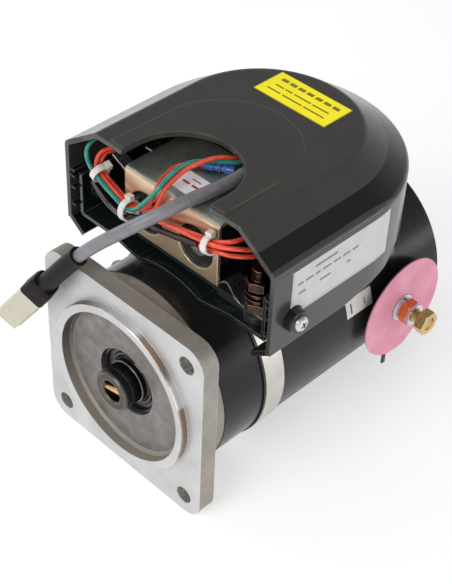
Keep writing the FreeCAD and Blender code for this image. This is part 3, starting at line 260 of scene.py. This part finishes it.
def flange_metal():
    """Cast aluminium: rough sides and recess, and a machined, lightly marked front face. The
    recess wall carries painted light and shade, and the spigot ring has painted brown
    reflections.
    """
    s = Shader("flange_casting")
    facing = s.ramp(s.axis(1, "Normal"), -0.97, -0.9, 1.0, 0.0)
    machined = s.both(facing, s.ramp(s.axis(1), *FRONT_FACE_Y, 1.0, 0.0))
    pits = s.noise(900.0, 6.0, 0.7)
    cast = s.mix(s.ramp(s.noise(55.0, 5.0), 0.3, 0.75), (0.25, 0.23, 0.20), (0.37, 0.345, 0.31))
    cast = s.mix(s.ramp(pits, 0.55, 0.7), cast, (0.16, 0.145, 0.125))
    radius = s.node("ShaderNodeVectorMath", operation="LENGTH")
    s.tree.links.new(s.stretched(1, 0, 1), radius.inputs[0])
    radius = radius.outputs["Value"]
    inside = s.ramp(radius, *RECESS_R, 1.0, 0.0)
    spigot = s.both(s.math("COMPARE", radius, PILOT_R, PILOT_BAND),
                    s.ramp(s.axis(1), *PILOT_FRONT_Y, 1.0, 0.0))
    spigot = s.both(spigot, s.math("SUBTRACT", 1.0, facing))
    holes = s.both(*(s.math("COMPARE", s.math("ABSOLUTE", s.axis(i)), BOLT_HALF, BOLT_HOLE_R)
                     for i in (0, 2)))
    floor = s.mix(s.ramp(s.noise(130.0, 6.0, 0.65), 0.35, 0.68),
                  (0.165, 0.145, 0.14), (0.27, 0.245, 0.235))
    # Painted light and shade: the recess wall is dark at the top, which faces down, and paler at
    # the bottom, which faces up.
    low = s.ramp(s.axis(2), *RECESS_WALL_SHADE_Z, 1.0, 0.0)
    shaded_recess_wall = s.mix(low, (0.085, 0.07, 0.058), (0.30, 0.265, 0.22))
    cast = s.mix(inside, cast, s.mix(facing, shaded_recess_wall, floor))
    cast = s.mix(holes, cast, s.mix(s.ramp(pits, 0.4, 0.6), (0.22, 0.20, 0.17),
                                    (0.50, 0.48, 0.43)))
    # Painted reflection: brown patches on the bright spigot ring stand in for reflected
    # surroundings.
    spigot_reflection_patches = s.ramp(s.noise(30.0, 3.0, 0.5), 0.46, 0.54)
    cast = s.mix(spigot, cast, s.mix(spigot_reflection_patches, (0.70, 0.68, 0.66), (0.30, 0.22, 0.17)))
    rings = s.node("ShaderNodeTexNoise", {"W": radius, "Scale": 2200.0, "Detail": 3.0},
                   noise_dimensions="1D").outputs["Fac"]
    stain = s.ramp(s.noise(38.0, 6.0, 0.65), 0.35, 0.7)
    bright = s.mix(stain, (0.60, 0.60, 0.60), (0.47, 0.472, 0.475))
    scratches = s.noise(260.0, 5.0, 0.7, at=s.stretched(1, 1, 9))
    bright = s.mix(s.ramp(scratches, 0.58, 0.70, 0.0, 0.6), bright, (0.36, 0.355, 0.35))
    specks = s.ramp(s.cells(420.0), 0.0, 0.09, 1.0, 0.0)
    specks = s.both(specks, s.ramp(s.noise(90.0), 0.55, 0.63))
    bright = s.mix(s.both(specks, 0.7), bright, (0.30, 0.29, 0.28))
    worn = s.both(s.edges(0.0008), s.ramp(pits, 0.35, 0.6))
    s.set(color=s.mix(worn, s.mix(machined, cast, bright), (0.85, 0.86, 0.88)),
          metal=s.math("MAXIMUM", s.ramp(machined, 0, 1, 0.4, 0.55), spigot),
          rough=s.math("SUBTRACT", s.math("ADD", s.ramp(machined, 0, 1, 0.5, 0.36),
                                          s.both(pits, 0.12)), s.both(spigot, 0.3)),
          normal=s.bump(s.both(pits, s.ramp(machined, 0, 1, 1.0, 0.12)), 0.5, 0.0002,
                        s.bump(rings, 0.06, 0.00003, s.soft_edges(0.0007))))
    return s


# Bounds of the cover's inside, which is painted near black as painted shade.
COVER_SHADE_X, COVER_SHADE_Z = 72.4 * MM, 112 * MM


def cover_plastic():
    """Dark satin moulding with a faint flow pattern, edges paled partly by wear and partly by a
    painted golden highlight, and an inner face darkened as painted shade.
    """
    s = Shader("cover_moulding", spec=0.42, coat=0.05, coat_rough=0.07)
    flow = s.ramp(s.noise(14.0, 3.0), 0.3, 0.7)
    base = s.mix(flow, (0.041, 0.039, 0.037), (0.048, 0.046, 0.043))
    # Painted shade: the cover's inner face is painted near black, where little light reaches.
    shaded_inside = s.both(s.math("LESS_THAN", s.math("ABSOLUTE", s.axis(0)), COVER_SHADE_X),
                   s.math("LESS_THAN", s.axis(2), COVER_SHADE_Z))
    base = s.mix(shaded_inside, base, (0.006, 0.006, 0.006))
    # Paler, golden edges: partly wear, partly a painted highlight along the shoulder edges.
    rubbed_edge_highlight = s.both(s.edges(0.001, 0.01, 0.14), s.ramp(s.noise(70.0, 4.0), 0.3, 0.7, 0.3, 0.9))
    s.set(color=s.mix(rubbed_edge_highlight, base, (0.17, 0.155, 0.115)),
          rough=s.ramp(s.noise(220.0, 5.0), 0.3, 0.7, 0.17, 0.24),
          normal=s.bump(s.noise(3200.0, 3.0), 0.1, 0.00003, s.soft_edges(0.0011)))
    return s


def frame_steel():
    """Yellow-passivated sheet: golden sides, a top painted greyer as a painted reflection of the
    dark cover above it, and bright rubbed edges.
    """
    s = Shader("yellow_passivate", metal=0.85)
    # Painted reflection and shade: faces that look up get a darker grey-green, standing for the
    # cover's underside mirrored in them.
    up = s.ramp(s.axis(2, "Normal"), 0.5, 0.9)
    sheen = s.ramp(s.noise(42.0, 5.0, 0.6), 0.3, 0.7)
    gold = s.mix(sheen, (0.66, 0.50, 0.27), (0.78, 0.58, 0.44))
    painted_top_reflection = s.mix(s.ramp(s.noise(70.0, 6.0, 0.65), 0.35, 0.65), (0.30, 0.33, 0.29),
                 (0.56, 0.59, 0.53))
    lines = s.noise(500.0, 4.0, 0.6, at=s.stretched(1, 1, 8))
    base = s.mix(s.edges(0.0009, 0.01, 0.15), s.mix(up, gold, painted_top_reflection), (0.95, 0.84, 0.78))
    s.set(color=base, rough=s.ramp(lines, 0.3, 0.7, 0.26, 0.42),
          normal=s.bump(lines, 0.06, 0.00004, s.soft_edges(0.0008)))
    return s


OUTER_NUT_X = (72 * MM, 74 * MM)


def nut_brass():
    """The clamp nuts beside the discs are copper-orange, the outer ones paler brass."""
    s = Shader("nut_brass", metal=1.0)
    outer = s.ramp(s.math("ABSOLUTE", s.axis(0)), *OUTER_NUT_X)
    lines = s.noise(500.0, 4.0, 0.6, at=s.stretched(6, 1, 1))
    tint = s.mix(s.ramp(s.noise(150.0, 4.0), 0.35, 0.65, 0.0, 0.5),
                 s.mix(outer, (0.72, 0.29, 0.09), (0.74, 0.50, 0.20)), (0.42, 0.26, 0.12))
    s.set(color=s.mix(s.edges(0.0005), tint, (1.0, 0.80, 0.48)),
          rough=s.ramp(lines, 0.3, 0.7, 0.2, 0.34),
          normal=s.bump(lines, 0.08, 0.00004, s.soft_edges(0.0004)))
    return s


def pressed_board():
    """Pink pressed board: mottled fibres and a chalky, slightly waxed face."""
    s = Shader("pink_board", spec=0.3)
    fibres = s.noise(900.0, 5.0, 0.7, at=s.stretched(1, 1, 3))
    blotch = s.ramp(s.noise(60.0, 5.0, 0.6), 0.3, 0.7)
    base = s.mix(blotch, (0.62, 0.225, 0.325), (0.72, 0.33, 0.42))
    base = s.mix(s.ramp(fibres, 0.55, 0.7, 0.0, 0.5), base, (0.80, 0.47, 0.55))
    s.set(color=s.mix(s.edges(0.0004), base, (0.85, 0.55, 0.62)),
          rough=s.ramp(fibres, 0.3, 0.7, 0.5, 0.66),
          normal=s.bump(fibres, 0.2, 0.00006, s.soft_edges(0.0003)))
    return s


def printed_film(name, film, ink, u_axis, v_axis, rows, border, marks=None, **uniform):
    """Plain film with generic bars where a label has its print, and a tinted border."""
    s = Shader(name, spec=0.5, **uniform)
    u, v = s.axis(u_axis), s.axis(v_axis)
    aged = s.ramp(s.noise(80.0, 5.0), 0.35, 0.7)
    base = s.mix(aged, film, scaled(film, 0.9))
    (u0, u1, v0, v1), tint = border
    across = s.math("COMPARE", u, (u0 + u1) / 2 * MM, (u1 - u0) / 2 * MM)
    inside = s.both(across, s.math("COMPARE", v, (v0 + v1) / 2 * MM, (v1 - v0) / 2 * MM))
    base = s.mix(inside, tint, base)
    base = s.mix(s.bars(u, v, rows), base, ink)
    for mask, tint in marks(s) if marks else ():
        base = s.mix(mask, base, tint)
    s.set(color=base,
          rough=s.ramp(aged, 0, 1, 0.32, 0.44),
          normal=s.bump(s.noise(500.0, 3.0), 0.06, 0.00005))
    return s


# A label's bars, in mm: (middle, height, [(start, end), ...]). The yellow label's are measured
# down and across from its corner, and the white labels' are places on the object.
YELLOW_BARS = [(5.4, 2.6, [(5 + 6 * k, 9.6 + 6 * k) for k in range(7)]),
               (11.6, 1.2, [(6, 12), (13, 18), (19.2, 31), (32.2, 43.5)]),
               (16.6, 1.2, [(4.5, 14), (15.2, 29), (30.2, 44.5)])]
YELLOW_BORDER = 0.5
RATING_BARS = [(95.6, 1.5, [(58, 74)]),
               (90.6, 1.5, [(46, 50), (51.5, 57), (58.5, 62), (63.5, 70), (71.5, 77),
                            (78.5, 84), (85.5, 90)]),
               (84.6, 1.5, [(47, 52), (62, 70), (82, 85)])]
RATING_INSIDE = (43.5, 140, 74.0, 99.8)
YOKE_BARS = [(16.8, 6.0, [(118.6, 119.8)]), (16.8, 4.0, [(129.6, 130.4)])]
YOKE_LABEL_BELOW = 40 * MM
COIL_BARS = [(47.0, 1.6, [(-5, 0), (1.5, 6)]), (51.0, 0.9, [(-2, 4)])]
COIL_LABEL_X, COIL_LABEL_HALF = 0.75 * MM, 9 * MM


def caution_film():
    """The yellow label, with dark bars, a thin darker rim and a faint glow that is painted light.
    """
    low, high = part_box("caution_label")
    x0, x1, y0, y1 = (c / MM for c in (low[0], high[0], low[1], high[1]))
    rows = [(y1 - down, height, [(x0 + start, x0 + end) for start, end in spans])
            for down, height, spans in YELLOW_BARS]
    inside = (x0 + YELLOW_BORDER, x1 - YELLOW_BORDER, y0 + YELLOW_BORDER, y1 - YELLOW_BORDER)
    # The emission is painted light: it brightens the label though it is no lamp.
    return printed_film("yellow_film", (1.0, 0.88, 0.006), (0.03, 0.025, 0.01), 0, 1, rows,
                        (inside, (0.35, 0.28, 0.01)), emission=(1.0, 0.85, 0.01), glow=0.16)


def white_film():
    """Rating label, yoke label and coil label: grey bars on bluish white."""

    def small_labels(s):
        """The yoke's label is creamier; the contactor's is painted whiter, as painted light
        against the shade under the cover, with two generic red bars.
        """
        x, y, z = s.axis(0), s.axis(1), s.axis(2)
        on_yoke = s.math("LESS_THAN", z, YOKE_LABEL_BELOW)
        yield on_yoke, (0.62, 0.60, 0.57)
        yield s.both(on_yoke, s.bars(y, z, YOKE_BARS)), (0.06, 0.06, 0.06)
        # Painted light: the coil label is made whiter to lift it out of the shade under the
        # cover.
        on_frame = s.math("COMPARE", x, COIL_LABEL_X, COIL_LABEL_HALF)
        yield on_frame, (0.86, 0.86, 0.88)
        yield s.both(on_frame, s.bars(x, y, COIL_BARS)), (0.45, 0.03, 0.04)

    return printed_film("white_film", (0.52, 0.525, 0.52), (0.16, 0.17, 0.19), 1, 2, RATING_BARS,
                        (RATING_INSIDE, (0.38, 0.42, 0.49)), small_labels)


def dress_all():
    """A material for every CAD node that shows."""
    dress("drive_end_flange", flange_metal())
    dress("yoke_tube rear_end_cap", gloss_paint("black_enamel", (0.010, 0.010, 0.011), 0.22))
    # The tray's faint teal tint is a painted reflection, and its pale edge colour a painted
    # highlight along the rims.
    dress("contactor_tray", gloss_paint("tray_enamel", (0.006, 0.0095, 0.0105), 0.11,
                                        (0.26, 0.29, 0.28), 0.6))
    dress("cover", cover_plastic())
    dress("contactor_frame", frame_steel())
    dress("shaft_seal strap_liner cover_grommets",
          plastic("seal_rubber", (0.007, 0.007, 0.007), 0.24, 1800.0, 0.12, edge=0.03))
    dress("contact_housing terminal_bushes",
          plastic("black_moulding", (0.018, 0.018, 0.018), 0.4))
    dress("contactor_coils", plastic("coil_tape", (0.012, 0.012, 0.013), 0.22, spec=0.6))
    dress("strap_band", metal("stainless_strap", (0.60, 0.57, 0.53), 0.34, 0.08, (6, 0.4, 6),
                              700.0, 0.05))
    dress("strap_screw cover_screws", metal("stainless", (0.62, 0.61, 0.59), 0.3, 0.06,
                                            edge=(0.3, 0.29, 0.28)))
    dress("coupling_sleeve", metal("sleeve_steel", (0.075, 0.068, 0.062), 0.32, 0.2, (1, 12, 1),
                                   600.0, 0.08, (0.55, 0.53, 0.5)))
    dress("motor_shaft bearing_outer_rings bearing_inner_rings front_bearing_balls "
          "rear_bearing_balls",
          metal("turned_steel", (0.40, 0.40, 0.41), 0.3, 0.15, (1, 12, 1), 600.0, 0.06))
    dress("coupling_band front_circlip rear_wave_washer brush_springs",
          metal("spring_steel", (0.04, 0.04, 0.042), 0.35, 0.2, edge=(0.2, 0.2, 0.2)))
    dress("drive_pin", metal("pin_brass", (0.70, 0.38, 0.17), 0.28, 0.15))
    dress("terminal_studs brush_holders busbar", metal("brass", (0.74, 0.52, 0.22), 0.26, 0.15,
                                                       dark=(0.40, 0.26, 0.10)))
    dress("terminal_nuts", nut_brass())
    dress("terminal_washers through_bolts plunger_left plunger_right",
          metal("zinc_plate", (0.62, 0.66, 0.72), 0.22, 0.06))
    # Painted shade: the side stud is darkened as if in the cover's shadow, and its paler edges
    # are painted glints.
    dress("side_stud", metal("copper_in_painted_shade", (0.085, 0.045, 0.03), 0.3, 0.3,
                             edge=(0.50, 0.34, 0.25), dark=(0.02, 0.015, 0.012)))
    dress("power_studs armature_winding commutator",
          metal("copper", (0.66, 0.35, 0.22), 0.32, 0.2, dark=(0.3, 0.14, 0.08)))
    dress("tinned_strap spade_terminals", metal("tinned_copper", (0.62, 0.65, 0.71), 0.3, 0.1))
    dress("armature_core field_magnets", metal("lamination", (0.2, 0.2, 0.21), 0.5, 0.2))
    dress("terminal_discs", pressed_board())
    dress("brush_plate commutator_hub", plastic("phenolic", (0.28, 0.14, 0.055), 0.5))
    dress("brush_1 brush_2 brush_3 brush_4", plastic("carbon", (0.03, 0.03, 0.03), 0.5))
    dress("terminal_tie", plastic("black_nylon", (0.022, 0.02, 0.018), 0.42, 1500.0, 0.2))
    dress("cable_sleeve", plastic("sleeve_pvc", (0.012, 0.0095, 0.0085), 0.45, 900.0, 0.3,
                                  edge=0.015, spec=0.12))
    dress("wire_ties", plastic("natural_ties", (0.70, 0.665, 0.635), 0.25, tone=0.06, sss=0.4,
                               sss_radius=(1.0, 0.8, 0.6), sss_scale=0.001))
    dress("cable_connector", plastic("natural_nylon", (0.52, 0.49, 0.395), 0.3, tone=0.06,
                                     sss=0.25, sss_radius=(1.0, 0.85, 0.6), sss_scale=0.002))
    dress("caution_label", caution_film())
    dress("white_labels", white_film())
    dress("crimp_connector", plastic("blue_nylon", (0.035, 0.11, 0.38), 0.22, spec=0.6))


dress_all()


# ------------------------------------------------------------------ cable and wires
def smooth_curve(name, routes, radius, shader, swell=(1.0,)):
    """Smooth round lines, one NURBS spline for each route's control points, in mm."""
    data = bpy.data.curves.new(name, "CURVE")
    data.dimensions = "3D"
    data.bevel_depth = radius * MM
    data.bevel_resolution = 6
    data.resolution_u = 12
    data.use_fill_caps = True
    for route in routes:
        spline = data.splines.new("NURBS")
        spline.points.add(len(route) - 1)
        for index, (point, (x, y, z)) in enumerate(zip(spline.points, route)):
            point.co = (x * MM, y * MM, z * MM, 1.0)
            point.radius = swell[index % len(swell)]
        spline.order_u = 3
        spline.use_endpoint_u = True
    obj = bpy.data.objects.new(name, data)
    bpy.context.scene.collection.objects.link(obj)
    data.materials.append(shader.material)
    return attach(obj, "motor_body")


def sheath(name, color, rough=0.26, haze=0.18):
    """Extruded wire covering: faint lengthwise streaks, handling marks and an even gloss."""
    s = Shader(name, spec=0.6)
    streak = s.noise(260.0, 4.0, 0.6, at=s.stretched(0.5, 1, 1))
    base = s.mix(s.ramp(streak, 0.3, 0.7), scaled(color, 0.84), scaled(color, 1.14))
    marks = s.both(s.ramp(s.noise(120.0, 5.0, 0.7), 0.62, 0.74), 0.3)
    s.set(color=s.mix(marks, base, tuple(c * 0.6 + haze for c in color)),
          rough=s.ramp(streak, 0.3, 0.7, rough * 0.85, rough * 1.2),
          normal=s.bump(s.noise(900.0, 3.0), 0.1, 0.00004))
    return s


CABLE_ROUTE = [(16.0, 90.0, 112.2), (16.4, 69.0, 112.3), (15.4, 48.0, 112.2),
               (12.2, 31.3, 112.0), (9.2, 22.2, 109.6), (4.7, 14.7, 105.9), (-1.6, 8.0, 100.2),
               (-9.6, 2.6, 92.7), (-19.5, -1.5, 82.6), (-29.9, -4.3, 70.4), (-39.9, -7.1, 56.8),
               (-51.2, -10.2, 41.1)]
GREEN_ROUTE = [(-61.5, 50, 104), (-60.5, 42, 108), (-60.5, 36, 108.5), (-61, 32.5, 105.5),
               (-60, 31, 101.5), (-56.5, 29.5, 99), (-51, 27.5, 98.5), (-46.5, 27.5, 96),
               (-39.5, 26.5, 94), (-32, 26.5, 91.5), (-26.5, 26, 90), (-20.5, 26, 91),
               (-15, 25.5, 95.5), (-10.5, 26, 101.5), (-6, 27, 107.5), (-3, 29, 113),
               (-4, 34.5, 115), (-3.5, 39, 117.5), (-3.5, 43.5, 118.5), (-2.5, 48, 119),
               (-1.5, 53, 118.5), (-1, 60, 115.5), (3, 64.5, 115), (7.5, 68.5, 114.5),
               (10, 73, 114), (9, 79.5, 112.5)]
RED_ROUTES = [
    [(-51, 45.5, 105), (-54, 38.5, 105), (-55, 35, 102.5), (-54, 32.5, 100), (-52, 30.5, 98),
     (-47.5, 30, 96.5), (-42, 29.5, 95), (-36, 29, 93), (-30.5, 29, 90.5), (-25, 28.5, 90),
     (-20, 28.5, 91), (-16, 29.5, 92.5), (-12, 30.5, 96), (-9.5, 31, 102.5), (-7, 31, 110),
     (-10, 37, 110.5), (-12.5, 44.5, 110.5), (-13, 50.5, 110.5), (-11, 55.5, 110.5),
     (-9, 58, 110.5), (-4.5, 61, 110.5)],
    [(-51.5, 47.5, 101.5), (-52.5, 43.5, 102.5), (-54, 40, 102.5), (-54, 37.5, 101),
     (-53.5, 35, 98.5), (-51.5, 33.5, 97), (-47.5, 32.5, 96), (-42.5, 32.5, 93.5),
     (-37, 32.5, 91.5), (-31.5, 31.5, 90), (-26, 31.5, 89.5), (-15.5, 31.5, 91), (-10, 31.5, 94),
     (-6, 31, 100), (-3.5, 30.5, 106), (-1, 30.5, 112), (-1.5, 34.5, 113.5), (-1.5, 39.5, 115.5),
     (-1, 44.5, 117.5), (0.5, 49, 119), (1.5, 55, 119), (2.5, 61, 118.5), (4, 67, 117),
     (6.5, 72.5, 114.5), (6, 79, 113.5)],
]
LOWER_RED_ROUTES = [
    [(-11, 31.5, 88.5), (6, 31.5, 93), (14, 31, 95.5), (21.5, 31, 97.5), (34, 30.5, 101),
     (40, 30.5, 104), (44, 32.5, 105.5), (45.5, 36.5, 105.5), (45, 42.5, 104), (43, 50.5, 100.5)],
    [(-11.5, 29.5, 90), (-3, 29, 92.5), (6, 28, 95), (14, 28, 97), (28.5, 27.5, 100),
     (38.5, 27.5, 102.5), (44, 28.5, 104), (48.5, 31.5, 104.5), (51, 36, 103), (51.5, 42.5, 100),
     (49, 51.5, 95)],
    [(26, 29, 94.5), (34, 29, 96.5), (38, 29.5, 97.5), (42.5, 31, 97.5), (46.5, 34.5, 97),
     (49.5, 39, 96), (50, 45.5, 93.5), (49, 53.5, 89.5)],
]
DARK_ROUTES = [
    [(-11.5, 31, 84.5), (-5.5, 30.5, 85), (1.5, 30.5, 87), (14.5, 29.5, 91), (25, 29, 94.5)],
    [(-57.5, 33, 85), (-46, 29.5, 83.5), (-33.5, 27, 82.5), (-26.5, 26, 85), (-20.5, 26, 87),
     (-16, 28, 88)],
]


CABLE_R, WIRE_R, SLEEVE_R = 3.5, 1.2, 1.9
SLEEVE_SWELL = (0.7, 1.0, 0.8, 1.02, 0.75)


def lay_cable():
    """The control cable, from under the cover to its plug."""
    cable = smooth_curve("control_cable_line", [CABLE_ROUTE], CABLE_R,
                         sheath("grey_pvc", (0.19, 0.185, 0.20), 0.34))
    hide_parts("control_cable")


def lay_wires():
    """The thin leads, held all along by the ties and the contactor."""
    green = sheath("green_pvc", (0.008, 0.25, 0.195), 0.22)
    red = sheath("red_pvc", (0.80, 0.075, 0.035), 0.22)
    dark = sheath("dark_sleeve", (0.012, 0.009, 0.008), 0.25, haze=0.03)
    for wires, node, slot in (
            (smooth_curve("green_wire_line", [GREEN_ROUTE], WIRE_R, green),
             "green_wire", "green_pvc"),
            (smooth_curve("red_wire_lines", RED_ROUTES + LOWER_RED_ROUTES, WIRE_R, red),
             "red_wires", "red_pvc"),
            (smooth_curve("diode_sleeve_lines", DARK_ROUTES, SLEEVE_R, dark, SLEEVE_SWELL),
             "diode_sleeves", "black_nylon")):
        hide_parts(node)


lay_cable()
lay_wires()


# ------------------------------------------------------------------ floor and light
FLOOR_Z, FLOOR_HALF = -60.2 * MM, 4.0
SKY = (("From Min", 0.05), ("From Max", 0.6), ("To Min", 0.88), ("To Max", 0.28))
LIGHTS_AIM = Vector((0, 0.09, 0.03))
# Each softbox: its name, its place from the point that it faces, its side in metres, its power.
SOFTBOXES = (("front", (0.1, -1.2, 0.9), 0.9, 10.5),
             ("right", (1.3, 0.1, 0.5), 0.8, 4.8),
             ("left", (-1.2, -0.3, 0.8), 0.8, 5.6),
             ("rear_right", (1.2, 1.0, -0.02), 0.5, 2.6))


def lay_floor():
    """A plain white floor just under the object."""
    mesh = bpy.data.meshes.new("floor")
    corners = ((-1, -1), (1, -1), (1, 1), (-1, 1))
    mesh.from_pydata([(x * FLOOR_HALF, y * FLOOR_HALF, FLOOR_Z) for x, y in corners], [],
                     [(0, 1, 2, 3)])
    floor = bpy.data.objects.new("floor", mesh)
    bpy.context.scene.collection.objects.link(floor)
    s = Shader("floor", spec=0.1, rough=0.8, emission=(1, 1, 1), glow=0.48)
    s.set(color=s.mix(s.noise(3.0), (0.72, 0.72, 0.72), (0.76, 0.76, 0.76)))
    mesh.materials.append(s.material)


def light_sky():
    """Bright near the horizon and dark overhead."""
    world = bpy.data.worlds.new("studio")
    world.use_nodes = True
    nodes, links = world.node_tree.nodes, world.node_tree.links
    split = nodes.new("ShaderNodeSeparateXYZ")
    links.new(nodes.new("ShaderNodeTexCoord").outputs["Generated"], split.inputs[0])
    fade = nodes.new("ShaderNodeMapRange")
    for key, value in SKY:
        fade.inputs[key].default_value = value
    links.new(split.outputs[2], fade.inputs["Value"])
    links.new(fade.outputs["Result"], nodes["Background"].inputs["Strength"])
    nodes["Background"].inputs["Color"].default_value = (1, 1, 1, 1)
    bpy.context.scene.world = world


def place_softboxes():
    """Area lights that all face the object."""
    for name, where, size, power in SOFTBOXES:
        data = bpy.data.lights.new(name, "AREA")
        data.size, data.energy = size, power
        light = bpy.data.objects.new(name, data)
        bpy.context.scene.collection.objects.link(light)
        light.location = LIGHTS_AIM + Vector(where)
        light.rotation_euler = Vector(where).to_track_quat("Z", "Y").to_euler()


lay_floor()
light_sky()
place_softboxes()
bpy.context.scene.view_settings.view_transform = "Standard"
